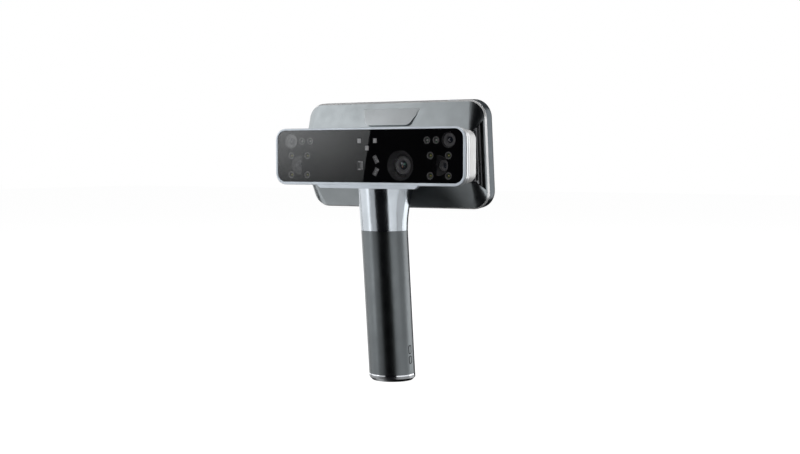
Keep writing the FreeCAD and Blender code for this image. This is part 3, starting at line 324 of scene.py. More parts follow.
@dataclass(frozen=True)
class Board(Finish):
    """A circuit board: solder mask, tracks under it and tinned pads."""

    def colours(self, graph: Graph, place: Wire, detail: Wire) -> Wire:
        """Mask colour with lighter tracks and pale pads."""
        x, _, z = graph.axes(place)
        area = graph.noise(place, 0.12, 0.0).ramp(0.48, 0.5)
        tracks = (x.cycle(1.6) < 0.22) * area + (z.cycle(1.9) < 0.2) * (1 - area)
        pads = (x.cycle(3.4) < 0.5) * (z.cycle(2.9) < 0.35) * (graph.noise(place, 0.2, 0.0) > 0.55)
        mask = graph.blend(tracks, self.colour, tuple(c * 1.9 for c in self.colour))
        return graph.blend(pads, mask, (0.66, 0.62, 0.55))


@dataclass(frozen=True)
class Banded(Finish):
    """A finish whose colour changes in steps along one axis of the leaning frame, as a cell's wrap does."""

    second: Colour = (0.8, 0.8, 0.8)
    span: float = 65.5
    share: float = 0.12

    def colours(self, graph: Graph, place: Wire, detail: Wire) -> Wire:
        """Two colours in rings."""
        _, y, z = graph.axes(place)
        lean = math.radians(LEAN_DEGREES)
        along = z * math.cos(lean) - y * math.sin(lean)
        ring = along.cycle(self.span) < self.span * self.share / 2
        return graph.blend(ring, self.colour, self.second)


class Finishes:
    """Every finish of the scanner."""

    silver = Finish("satin_silver", (0.55, 0.60, 0.655), 0.32, metal=0.35, coat=0.1, pitch=0.2, relief=0.004)
    window = Pane("window_glass", (0.96, 0.97, 0.98), 0.0, metal=1.0, relief=0.0, pitch=40, lift=0.02,
                  clear=0.88)
    cover = Pane("camera_cover", (0.96, 0.97, 0.98), 0.03, metal=1.0, relief=0.0, pitch=40, lift=0.02,
                 clear=0.95)
    black = Finish("black_plastic", (0.0006, 0.0006, 0.0007), 0.8, pitch=0.3, relief=0.008, ior=1.06)
    funnel = Finish("funnel_black", (0.030, 0.030, 0.031), 0.7, pitch=0.25, relief=0.01, ior=1.1)
    moulded = Finish("moulded_black", (0.012, 0.013, 0.014), 0.5, grain=Grain.PEBBLE, pitch=0.5, relief=0.012)
    band = Finish("polished_band", (0.84, 0.86, 0.88), 0.24, metal=0.4, coat=0.3, pitch=0.2, relief=0.003)
    pearl = Finish("pearl_paint", (0.88, 0.88, 0.87), 0.42, metal=0.25, coat=0.1, pitch=0.55, relief=0.012)
    gunmetal = Finish("gunmetal_paint", (0.365, 0.395, 0.41), 0.30, metal=1.0, pitch=0.6, relief=0.004,
                      lift=0.3)
    # Near-white finish for the side band's front chamfer: a painted highlight.
    edge = Finish("bright_chamfer", (0.95, 0.96, 0.97), 0.25, metal=0.6, pitch=0.3, relief=0.003)
    steelblue = Finish("steel_blue_band", (0.062, 0.075, 0.085), 0.34, metal=1.0, coat=0.1, pitch=0.5,
                       relief=0.006)
    # Lighter finish for the vent slats' front faces: a painted highlight.
    slat = Finish("slat_edge", (0.34, 0.35, 0.365), 0.28, metal=0.9, pitch=0.25, relief=0.003)
    vent = Finish("vent_metal", (0.05, 0.052, 0.055), 0.3, metal=0.9, grain=Grain.BRUSHED, pitch=0.25,
                  relief=0.01)
    badge = Finish("badge_metal", (0.74, 0.78, 0.80), 0.36, metal=1.0, pitch=0.4, relief=0.0015, lift=0.2)
    neck = Finish("neck_silver", (0.50, 0.54, 0.58), 0.19, metal=1.0, pitch=0.5, relief=0.004)
    rubber = Finish("soft_touch", (0.146, 0.160, 0.167), 0.30, metal=1.0, grain=Grain.FINE, pitch=0.35,
                    relief=0.003, lift=0.25)
    marking = Finish("pressed_mark", (0.014, 0.016, 0.017), 0.5, pitch=0.3, relief=0.01, ior=1.25)
    chrome = Finish("chrome_ring", (0.80, 0.83, 0.87), 0.10, metal=1.0, pitch=1.2, relief=0.002, uneven=0.04)
    cap = Finish("cap_plastic", (0.27, 0.28, 0.29), 0.30, metal=1.0, pitch=0.4, relief=0.008)
    screen = Pane("screen_glass", (0.002, 0.002, 0.003), 0.04, ior=1.9, relief=0.0, pitch=40, clear=0.45)
    panel = Finish("screen_panel", (0.008, 0.010, 0.014), 0.18, grain=Grain.WEAVE, pitch=0.25, relief=0.001)
    cast = Finish("cast_metal", (0.42, 0.43, 0.44), 0.48, metal=0.9, grain=Grain.PEBBLE, pitch=0.9,
                  relief=0.03)
    screw = Finish("steel_screw", (0.52, 0.52, 0.53), 0.28, metal=1.0, grain=Grain.BRUSHED, pitch=0.2,
                   relief=0.01)
    board = Board("green_board", (0.006, 0.075, 0.03), 0.35, coat=0.3, relief=0.004)
    chip = Finish("chip_black", (0.012, 0.012, 0.013), 0.5, pitch=0.2, relief=0.01)
    camera = Finish("camera_black", (0.085, 0.085, 0.088), 0.38, metal=0.1, grain=Grain.BRUSHED, pitch=0.3,
                    relief=0.008)
    flex = Finish("flex_amber", (0.42, 0.17, 0.02), 0.38, coat=0.3, grain=Grain.BRUSHED, pitch=0.8,
                  relief=0.01)
    lens = Finish("lens_glass", (0.006, 0.008, 0.014), 0.03, coat=1.0, ior=1.9, relief=0.0, pitch=30)
    # The next two finishes colour the colour camera's glint discs: painted reflections.
    coating = Finish("lens_coating", (0.05, 0.16, 0.12), 0.06, metal=0.8, coat=1.0, relief=0.0, pitch=30)
    amber_glint = Finish("amber_coating", (0.30, 0.12, 0.03), 0.10, metal=0.8, coat=1.0, relief=0.0, pitch=30)
    white_lamp = Lamp("lamp_white", (0.24, 0.24, 0.235), 0.25, coat=0.6, glow=0.02, pitch=0.3)
    amber_lamp = Lamp("lamp_amber", (0.16, 0.15, 0.06), 0.25, coat=0.6, glow=0.02, pitch=0.3)
    bright_ring = Finish("lamp_ring", (0.10, 0.10, 0.10), 0.3, metal=0.4, pitch=0.3)
    sensor = Finish("sensor_grey", (0.30, 0.30, 0.31), 0.4, grain=Grain.WEAVE, pitch=0.8, relief=0.02)
    laser = Finish("laser_metal", (0.13, 0.13, 0.135), 0.35, metal=0.5, pitch=0.3, relief=0.01)
    lead = Finish("lead_red", (0.45, 0.02, 0.015), 0.4, coat=0.2, pitch=0.4)
    gold = Finish("contact_gold", (0.83, 0.58, 0.24), 0.22, metal=1.0, pitch=0.3, relief=0.004)
    tube = Finish("tube_metal", (0.50, 0.51, 0.52), 0.36, metal=0.95, grain=Grain.BRUSHED, pitch=0.3)
    liner = Finish("liner_plastic", (0.03, 0.031, 0.033), 0.45, grain=Grain.PEBBLE, pitch=0.6, relief=0.01)
    wrap = Banded("cell_wrap", (0.02, 0.16, 0.30), 0.28, coat=0.5, relief=0.004)
    seal = Finish("seal_rubber", (0.015, 0.015, 0.016), 0.62, grain=Grain.PEBBLE, pitch=0.4, relief=0.015)
    key = Finish("key_plastic", (0.03, 0.032, 0.034), 0.38, pitch=0.3, relief=0.01)
    accent = Finish("key_accent", (0.20, 0.215, 0.23), 0.26, metal=0.85, grain=Grain.BRUSHED, pitch=0.3)


# ------------------------------------------------------------------ mesh tools

@dataclass(frozen=True)
class Section:
    """A rounded rectangle across the bar or head, in millimetres.

    Attributes:
        wide: Width along X.
        tall: Height.
        corner: Corner radius.
        depth: Place along Y.
        height: Height of its middle.
        across: Place along X of its middle.
    """

    wide: float
    tall: float
    corner: float
    depth: float
    height: float = 0.0
    across: float = 0.0


class Shape:
    """A mesh under construction, in millimetres, with -Y to the front."""

    def __init__(self) -> None:
        """Starts with nothing."""
        self.bm = bmesh.new()

    @classmethod
    def copied(cls, node: bpy.types.Object, flats: bool = True) -> "Shape":
        """A CAD node's mesh, merged, with the triangles of each flat joined or kept."""
        shape = cls()
        shape.bm.from_mesh(node.data)
        shape.moved(Matrix.Scale(1 / MM, 4))
        bmesh.ops.remove_doubles(shape.bm, verts=shape.bm.verts, dist=0.002)
        if flats:
            bmesh.ops.dissolve_limit(shape.bm, angle_limit=math.radians(0.8), use_dissolve_boundaries=False,
                                     verts=shape.bm.verts, edges=shape.bm.edges, delimit={"NORMAL"})
        return shape

    def joined(self, other: "Shape") -> "Shape":
        """Adds another shape's mesh to this one, which ends the other."""
        mesh = bpy.data.meshes.new("part")
        other.bm.to_mesh(mesh)
        other.bm.free()
        self.bm.from_mesh(mesh)
        return self

    def moved(self, matrix: Matrix, verts: Iterable[bmesh.types.BMVert] | None = None) -> "Shape":
        """Transforms all of it, or some."""
        bmesh.ops.transform(self.bm, matrix=matrix, verts=list(self.bm.verts if verts is None else verts))
        return self

    def outline(self, section: Section, steps: int = 10) -> bmesh.types.BMFace:
        """One flat face with the section's outline, facing the front."""
        made = bmesh.ops.create_grid(self.bm, x_segments=1, y_segments=1, size=0.5)["verts"]
        place = Matrix.Translation((section.across, section.depth, section.height))
        upright = Matrix.Rotation(math.pi / 2, 4, "X")
        self.moved(place @ upright @ Matrix.Diagonal((section.wide, section.tall, 1, 1)), made)
        if section.corner <= 0:
            return made[0].link_faces[0]
        known = set(self.bm.faces) - set(made[0].link_faces)
        bmesh.ops.bevel(self.bm, geom=made, offset=section.corner, offset_type="OFFSET", segments=steps,
                        profile=0.5, affect="VERTICES", material=-1)
        return next(face for face in self.bm.faces if face not in known)

    def loft(self, sections: Sequence[Section], ring: bool = False, steps: int = 10) -> "Shape":
        """Skins between sections.

        Args:
            sections: The outlines in order, with the same corner steps.
            ring: Whether the last joins the first, which gives a closed frame, or both ends are capped.
            steps: Segments of each corner.

        Returns:
            This shape.
        """
        faces = [self.outline(section, steps) for section in sections]
        rims = [list(face.edges) for face in faces]
        inner = faces if ring else faces[1:-1]
        bmesh.ops.delete(self.bm, geom=inner, context="FACES_ONLY")
        pairs = list(zip(rims, rims[1:])) + ([(rims[-1], rims[0])] if ring else [])
        for near, far in pairs:
            bmesh.ops.bridge_loops(self.bm, edges=near + far)
        bmesh.ops.recalc_face_normals(self.bm, faces=self.bm.faces)
        return self

    def turned(self, profile: Sequence[tuple[float, float]], across: float, height: float, steps: int = 48,
               closed: bool = False) -> "Shape":
        """Spins a profile about an axis that runs along Y.

        Args:
            profile: (radius, depth) points in order.
            across: The axis's place along X.
            height: Its height.
            steps: Segments round.
            closed: Whether the profile closes on itself, which gives a ring.

        Returns:
            This shape.
        """
        verts = [self.bm.verts.new((across + radius, depth, height)) for radius, depth in profile]
        ends = list(zip(verts, verts[1:])) + ([(verts[-1], verts[0])] if closed else [])
        edges = [self.bm.edges.new(pair) for pair in ends]
        bmesh.ops.spin(self.bm, geom=verts + edges, cent=(across, 0, height), axis=(0, 1, 0),
                       angle=2 * math.pi, steps=steps, use_merge=True)
        bmesh.ops.remove_doubles(self.bm, verts=self.bm.verts, dist=0.0005)
        bmesh.ops.recalc_face_normals(self.bm, faces=self.bm.faces)
        return self

    def prism(self, corners: Sequence[tuple[float, float]], front: float, back: float) -> "Shape":
        """A flat polygon of (across, height) corners, drawn out from front to back."""
        face = self.bm.faces.new([self.bm.verts.new((x, front, z)) for x, z in corners])
        made = bmesh.ops.extrude_face_region(self.bm, geom=[face])["geom"]
        bmesh.ops.translate(self.bm, vec=(0, back - front, 0),
                            verts=[item for item in made if isinstance(item, bmesh.types.BMVert)])
        bmesh.ops.recalc_face_normals(self.bm, faces=self.bm.faces)
        return self

    def block(self, left: float, right: float, low: float, high: float, front: float, back: float) -> "Shape":
        """An upright box between two places across, two heights and two depths."""
        return self.prism([(left, low), (right, low), (right, high), (left, high)], front, back)

    def softened(self, width: float, angle: float = 40.0, segments: int = 2,
                 chosen: Iterable[bmesh.types.BMEdge] | None = None) -> "Shape":
        """Rounds every edge sharper than an angle in degrees, or the chosen ones."""
        sharp = [edge for edge in (self.bm.edges if chosen is None else chosen)
                 if len(edge.link_faces) == 2 and edge.calc_face_angle() > math.radians(angle)]
        bmesh.ops.bevel(self.bm, geom=sharp, offset=width, offset_type="OFFSET", segments=segments,
                        profile=0.5, affect="EDGES", material=-1, clamp_overlap=True)
        return self

    def painted(self, index: int, test: Callable[[bmesh.types.BMFace], bool]) -> "Shape":
        """Gives the faces that pass a test another material."""
        for face in self.bm.faces:
            if test(face):
                face.material_index = index
        return self

    def piece(self, name: str, body: str, finishes: Sequence[Finish], replaces: Sequence[str] = (),
              slot: str | None = None, frame: Matrix = UPRIGHT, smooth: float = 32.0) -> bpy.types.Object:
        """Files the shape as a piece.

        Args:
            name: The piece's name.
            body: The CAD body it rides on.
            finishes: Its materials.
            replaces: The CAD nodes it stands for.
            slot: The record's material slot; not used.
            frame: The frame its millimetres are in.
            smooth: Edges sharper than this, in degrees, stay sharp.

        Returns:
            The new object.
        """
        self.moved(Matrix.Scale(MM, 4) @ frame)
        for edge in self.bm.edges:
            edge.smooth = len(edge.link_faces) == 2 and edge.calc_face_angle() < math.radians(smooth)
        for face in self.bm.faces:
            face.smooth = True
        mesh = bpy.data.meshes.new(name)
        self.bm.to_mesh(mesh)
        self.bm.free()
        made = bpy.data.objects.new(name, mesh)
        bpy.context.scene.collection.objects.link(made)
        for finish in finishes:
            mesh.materials.append(finish.made())
        weighted = made.modifiers.new("weighted", "WEIGHTED_NORMAL")
        weighted.keep_sharp = True
        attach(made, body)
        if replaces:
            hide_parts(*replaces)
        LOG.info("%s: %d faces on %s", name, len(mesh.polygons), body)
        return made


# ------------------------------------------------------------------ camera bar

@dataclass
class Bar:
    """The camera bar's trim, window and housing, measured back from the window's plane.

    Each size of an outline is its width, height and corner radius.
    """

    rim_middle: float = 199.6
    rim: Size = (194.6, 50.0, 10.5)
    opening: Size = (190.2, 45.7, 8.0)
    rim_deep: float = 1.2
    lip_half: tuple[float, float] = (52.5, 48.5)
    lip_inside: float = 0.25
    lip_drop: float = 2.7
    lip_deep: float = 4.6
    glass: Size = (190.0, 45.5, 8.0)
    flange: Size = (193.8, 49.2, 10.1)
    flange_way: Size = (187.5, 41.0, 5.0)
    flange_front: float = 3.2
    flange_back: float = 9.2
    housing: Size = (193.0, 45.2, 9.0)
    housing_way: Size = (151.6, 31.0, 4.0)
    housing_deep: float = 24.0
    housing_wall: float = 1.8
    housing_fold: float = 5.0

    def ring(self, size: Size, inset: float, depth: float, height: float) -> Section:
        """A section made smaller all round by an inset, at a depth behind the window's plane."""
        wide, tall, corner = size
        return Section(wide - 2 * inset, tall - 2 * inset, corner - inset, WINDOW_PLANE + depth, height)

    def rings(self, size: Size, rows: Iterable[tuple[float, float]]) -> list[Section]:
        """Sections about the rim's middle, from (inset, depth) rows."""
        return [self.ring(size, inset, depth, self.rim_middle) for inset, depth in rows]

    def bezel(self) -> None:
        """The silver rim round the window, rounded over its outer edge, with the chin below."""
        outer = [(0.0, self.rim_deep), (0.0, 0.75), (0.12, 0.36), (0.4, 0.1), (0.75, 0.0)]
        inner = [(-0.55, 0.0), (-0.12, 0.1), (0.0, 0.35), (0.0, self.rim_deep)]
        sections = self.rings(self.rim, outer)
        sections += [self.ring(self.opening, inset, depth, WINDOW_MIDDLE) for inset, depth in inner]
        shape = Shape().loft(sections, ring=True)
        high = self.rim_middle - self.rim[1] / 2 + self.lip_inside
        low = high - self.lip_inside - self.lip_drop
        top, bottom = self.lip_half
        chin = Shape().prism([(-top, high), (-bottom, low), (bottom, low), (top, high)],
                             WINDOW_PLANE, WINDOW_PLANE + self.lip_deep).softened(0.3, segments=3)
        shape.joined(chin).piece("front_trim", "scanner", [Finishes.silver], ["front_bezel"], "silver_trim")

    def window(self) -> None:
        """The front glass with a ground edge."""
        sections = [self.ring(self.glass, inset, depth, WINDOW_MIDDLE)
                    for inset, depth in ((0.18, 0.3), (0.0, 0.42), (0.0, 0.9), (0.15, 1.0))]
        Shape().loft(sections).piece("front_glass", "scanner", [Finishes.window], ["front_window"],
                                     "window_glass")

    def band(self) -> None:
        """The bright band behind the window frame, with a fine groove in it."""
        rows = [(0.5, self.flange_front), (0.12, 3.4), (0.0, 3.8), (0.0, 5.9), (0.3, 6.1), (0.3, 6.4),
                (0.0, 6.6), (0.0, 8.2), (0.15, 8.7), (0.7, self.flange_back)]
        sections = self.rings(self.flange, rows)
        sections += self.rings(self.flange_way, [(0.0, self.flange_back), (0.0, self.flange_front)])
        Shape().loft(sections, ring=True).piece("flange_band", "scanner", [Finishes.band], ["bar_frame"],
                                                "bar_band")

    def shell(self) -> None:
        """The bar's housing with its soft rear edge."""
        deep, wall, fold = self.housing_deep, self.housing_wall, self.housing_fold
        rows = [(0.25, self.flange_back), (0.0, self.flange_back + 0.3), (0.0, deep - fold)]
        steps = 8
        for step in range(1, steps + 1):
            angle = step / steps * math.pi / 2
            rows.append((fold * (1 - math.cos(angle)), deep - fold + fold * math.sin(angle)))
        sections = self.rings(self.housing, rows)
        sections += self.rings(self.housing_way, [(0.0, deep), (0.0, deep - wall)])
        sections += self.rings(self.housing, [(fold, deep - wall), (wall, deep - fold),
                                              (wall, self.flange_back)])
        Shape().loft(sections, ring=True).piece("bar_housing", "scanner", [Finishes.pearl], ["bar_shell"],
                                                "pearl_shell")

    def build(self) -> None:
        """Builds every piece of the bar."""
        self.bezel()
        self.window()
        self.band()
        self.shell()


# ------------------------------------------------------------------ optics

@dataclass
class Optics:
    """Cameras, lamps, sensors and projectors behind the window, measured from the window's middle.

    A place is given across and up from the window's middle, and a depth back from its plane.
    """

    face: float = 1.05
    depth_side: float = 73.9
    depth_low: float = -8.0
    track_side: float = 80.9
    track_high: float = 13.3
    colour: tuple[float, float] = (33.84, -8.08)
    toe: float = 16.0
    depth_hole_shift: float = -1.7
    glint_depth: float = 5.75
    white: tuple[float, float, float] = (59.96, 68.77, 13.22)
    infra: tuple[float, float, float, float] = (63.18, 80.65, 0.34, -16.63)
    lamp_ring: float = 3.1
    laser_side: float = 9.1
    laser_places: tuple[tuple[float, float], ...] = ((-2.8, -29.0), (-13.4, 29.0))
    laser_bars: tuple[float, ...] = (1.5, 2.1, 1.8, 2.2)
    laser_pitch: float = 1.9
    pattern_place: tuple[float, float] = (-7.5, -8.2)
    sensor_places: tuple[tuple[float, float], ...] = ((-8.18, 13.25), (8.16, 13.2), (-0.14, 6.86))

    def at(self, depth: float) -> float:
        """Y of a depth behind the window's plane."""
        return WINDOW_PLANE + depth

    def up(self, height: float) -> float:
        """Z of a height above the window's middle."""
        return WINDOW_MIDDLE + height

    def barrels(self, name: str, nodes: tuple[str, ...], glass_nodes: tuple[str, ...],
                places: tuple[tuple[float, float, float], ...], radius: float, front: float) -> None:
        """Lens barrels with stepped rings, and their domed glass.

        Args:
            name: The cameras' name.
            nodes: The CAD nodes that the barrels stand for.
            glass_nodes: The CAD nodes of their glass.
            places: Each axis's place along X, its height above the window's middle, and the degrees by
                which it is turned about its front, outward behind.
            radius: The barrels' outer radius.
            front: Depth of their front rims.
        """
        barrels, lenses = Shape(), Shape()
        r, y = radius, self.at(front)
        rim = [(r, y + 3.2), (r, y + 0.25), (r - 0.25, y), (0.86 * r, y), (0.83 * r, y + 0.25),
               (0.8 * r, y + 0.55), (0.7 * r, y + 0.6), (0.68 * r, y + 0.35), (0.62 * r, y + 0.35),
               (0.58 * r, y + 0.7), (0.5 * r, y + 1.2), (0.5 * r, y + 3.2)]
        dome = [(0.5 * r * math.sin(t), y + 0.75 + 0.13 * r * (1 - math.cos(t * 1.6)))
                for t in [k * math.pi / 20 for k in range(11)]]
        dome += [(0.5 * r, y + 2.4), (0.0, y + 2.4)]
        for across, height, toe in places:
            z = self.up(height)
            pivot = Matrix.Translation((across, y, z))
            turn = pivot @ Matrix.Rotation(math.radians(toe), 4, "Z") @ pivot.inverted()
            barrels.joined(Shape().turned(rim, across, z, closed=True).moved(turn))
            lenses.joined(Shape().turned(dome, across, z).moved(turn))
        barrels.piece(name + "_barrel", "scanner", [Finishes.camera], nodes, "camera_black")
        lenses.piece(name + "_lens", "scanner", [Finishes.lens], glass_nodes, "lens_glass")

    def cones(self) -> None:
        """Black cones between the mask's openings and the side cameras' barrels."""
        shape = Shape()
        shift = self.depth_hole_shift
        depth_rows = [(8.3, 1.15, shift), (4.5, 6.2, 0.0), (4.9, 6.2, 0.0), (8.4, 1.5, shift)]
        track_rows = [(6.6, 1.15, 0.0), (5.5, 2.9, 0.0), (5.7, 2.9, 0.0), (6.7, 1.5, 0.0)]
        for side in (-1, 1):
            for middle, height, rows in ((self.depth_side, self.depth_low, depth_rows),
                                         (self.track_side, self.track_high, track_rows)):
                sections = [Section(2 * r, 2 * r, r, self.at(depth), self.up(height), side * (middle + move))
                            for r, depth, move in rows]
                shape.joined(Shape().loft(sections, ring=True, steps=12))
        shape.piece("camera_cones", "scanner", [Finishes.funnel], (), "black_plastic")

    def glints(self) -> None:
        """Small discs in the colour camera's lens, painted glints: their colours paint in the lens's green,
        amber and blue-white reflections.
        """
        # Each disc paints a reflection in the lens; the blue-white one uses the silver finish.
        cases = [
            ("green", Finishes.coating, 2.1, 1.3, 1.2),
            ("amber", Finishes.amber_glint, -0.5, -1.1, 0.75),
            ("blue", Finishes.silver, -1.3, 1.7, 0.85),
        ]
        y = self.at(self.glint_depth)
        for name, finish, across, height, radius in cases:
            profile = [(0.0, y), (radius * 0.7, y + 0.05), (radius, y + 0.2), (radius * 0.8, y + 0.3),
                       (0.0, y + 0.3)]
            disc = Shape().turned(profile, self.colour[0] + across, self.up(self.colour[1] + height),
                                  steps=20)
            disc.piece("colour_glint_" + name, "scanner", [finish], (), "lens_glass")

    def covers(self) -> None:
        """Clear discs set in the mask over each camera."""
        spots = [("colour", *self.colour, 13.7)]
        for side, sign in (("left", -1), ("right", 1)):
            spots.append(("depth_" + side, sign * (self.depth_side + self.depth_hole_shift), self.depth_low,
                          8.45))
            spots.append(("track_" + side, sign * self.track_side, self.track_high, 6.7))
        y = self.at(self.face)
        for name, across, height, radius in spots:
            profile = [(0.0, y), (radius - 0.1, y), (radius, y + 0.08), (radius, y + 0.2), (0.0, y + 0.2)]
            Shape().turned(profile, across, self.up(height), steps=64).piece(
                name + "_cover", "scanner", [Finishes.cover], (), "window_glass")

    def lamps(self) -> None:
        """Lamp wells with bright rims and domes."""
        near, far, high = self.white
        spots = [("white", sign * x, high) for sign in (-1, 1) for x in (near, far)]
        inner, outer, top, low = self.infra
        spots += [("infrared", sign * x, z) for sign in (-1, 1) for x in (inner, outer) for z in (top, low)]
        rings, domes = Shape(), {"white": Shape(), "infrared": Shape()}
        for kind, across, height in spots:
            z, r = self.up(height), self.lamp_ring
            rim = [(r, 1.15), (r - 0.25, 1.1), (r - 0.75, 1.25), (r - 1.15, 2.0), (r - 1.15, 3.2), (r, 3.2)]
            rim = [(radius, self.at(depth)) for radius, depth in rim]
            rings.turned(rim, across, z, steps=32, closed=True)
            dome = [(0.85 * math.sin(t), self.at(1.9) - 0.55 * math.cos(t))
                    for t in [k * math.pi / 12 for k in range(7)]]
            dome += [(0.95, self.at(2.0)), (0.95, self.at(3.6)), (0.0, self.at(3.6))]
            domes[kind].turned(dome, across, z, steps=24)
        rings.piece("lamp_wells", "scanner", [Finishes.bright_ring], (), "black_plastic")
        domes["white"].piece("white_domes", "scanner", [Finishes.white_lamp], ["white_lamps"], "lamp_white")
        domes["infrared"].piece("infrared_domes", "scanner", [Finishes.amber_lamp], ["infrared_lamps"],
                                "lamp_amber")

    def lasers(self) -> None:
        """Two slanted laser windows with cross bars, mirrored about their middle height."""
        lines, frames = Shape(), Shape()
        back = self.at(1.9)
        for height, turn in self.laser_places:
            place = Matrix.Translation((self.laser_side, 0, self.up(height)))
            pivot = place @ Matrix.Rotation(math.radians(turn), 4, "Y")
            flip = 1 if turn < 0 else -1
            for index, half in enumerate(self.laser_bars):
                level = flip * (2.9 - index * self.laser_pitch)
                bar = Shape().block(-half, half, level - 0.5, level + 0.5, self.at(1.35), back)
                lines.joined(bar.softened(0.08).moved(pivot))
            spine = Shape().block(-0.35, 0.35, -3.6, 3.6, self.at(1.45), self.at(2.0))
            frames.joined(spine.softened(0.08).moved(pivot))
            spot = Shape().block(0.9, 1.7, -flip * 3.9, -flip * 1.4, self.at(1.3), back)
            frames.joined(spot.softened(0.08).moved(pivot))
        lines.piece("laser_bars", "scanner", [Finishes.laser], (), "laser_metal")
        frames.piece("laser_spines", "scanner", [Finishes.sensor], (), "sensor_grey")

    def pattern(self) -> None:
        """The pattern projector's window, set back behind a hooked edge."""
        shape = Shape()
        x, z = self.pattern_place[0], self.up(self.pattern_place[1])
        plate = [Section(2.9, 6.6, 0.5, self.at(depth), z, x + 1.6) for depth in (1.9, 2.6)]
        Shape().loft(plate, steps=4).piece("pattern_plate", "scanner", [Finishes.laser], (), "laser_metal")
        for level in (z - 3.3, z + 3.3):
            hook = Shape().block(x - 1.6, x + 0.6, level - 0.5, level + 0.5, self.at(1.3), self.at(2.2))
            shape.joined(hook.softened(0.1))
        for index in range(4):
            low = z - 3 + index * 1.8
            rib = Shape().block(x + 2.1, x + 3.2, low, low + 0.8, self.at(1.6), self.at(2.0))
            shape.joined(rib.softened(0.1))
        shape.piece("pattern_hooks", "scanner", [Finishes.sensor], (), "sensor_grey")

    def sensors(self) -> None:
        """Three light sensors, each a pale square with a frame of pins."""
        shape = Shape()
        tile = [(3.9, 0.25, 1.5), (4.0, 0.3, 1.6), (4.0, 0.3, 2.2)]
        eye = [(2.0, 0.4, 1.38), (2.2, 0.45, 1.55)]
        for across, height in self.sensor_places:
            for rows in (tile, eye):
                sections = [Section(side, side, corner, self.at(depth), self.up(height), across)
                            for side, corner, depth in rows]
                shape.joined(Shape().loft(sections, steps=3))
        shape.piece("sensor_tiles", "scanner", [Finishes.sensor], ["light_sensors"], "sensor_grey")

    def mask(self) -> None:
        """The black mask, whose funnels are a shade lighter than its face."""
        face = self.at(self.face)
        shape = Shape.copied(bpy.data.objects["optics_mask"], flats=False)
        shape.painted(1, lambda f: f.calc_center_median().y > face + 0.1)
        shape.piece("mask", "scanner", [Finishes.black, Finishes.funnel], ["optics_mask"], "black_plastic")

    def build(self) -> None:
        """Builds every piece behind the window."""
        self.mask()
        self.barrels("colour", ("colour_camera",), ("colour_lens",), ((*self.colour, 0.0),), 7.6, 5.3)
        depth = tuple((side * self.depth_side, self.depth_low, -side * self.toe) for side in (-1, 1))
        self.barrels("depth", ("depth_camera_left", "depth_camera_right"), ("depth_lenses",), depth, 4.6, 5.7)
        track = tuple((side * self.track_side, self.track_high, 0.0) for side in (-1, 1))
        self.barrels("track", ("tracking_cameras",), ("tracking_lenses",), track, 5.6, 2.3)
        self.cones()
        self.glints()
        self.covers()
        self.lamps()
        self.lasers()
        self.pattern()
        self.sensors()


# ------------------------------------------------------------------ display head

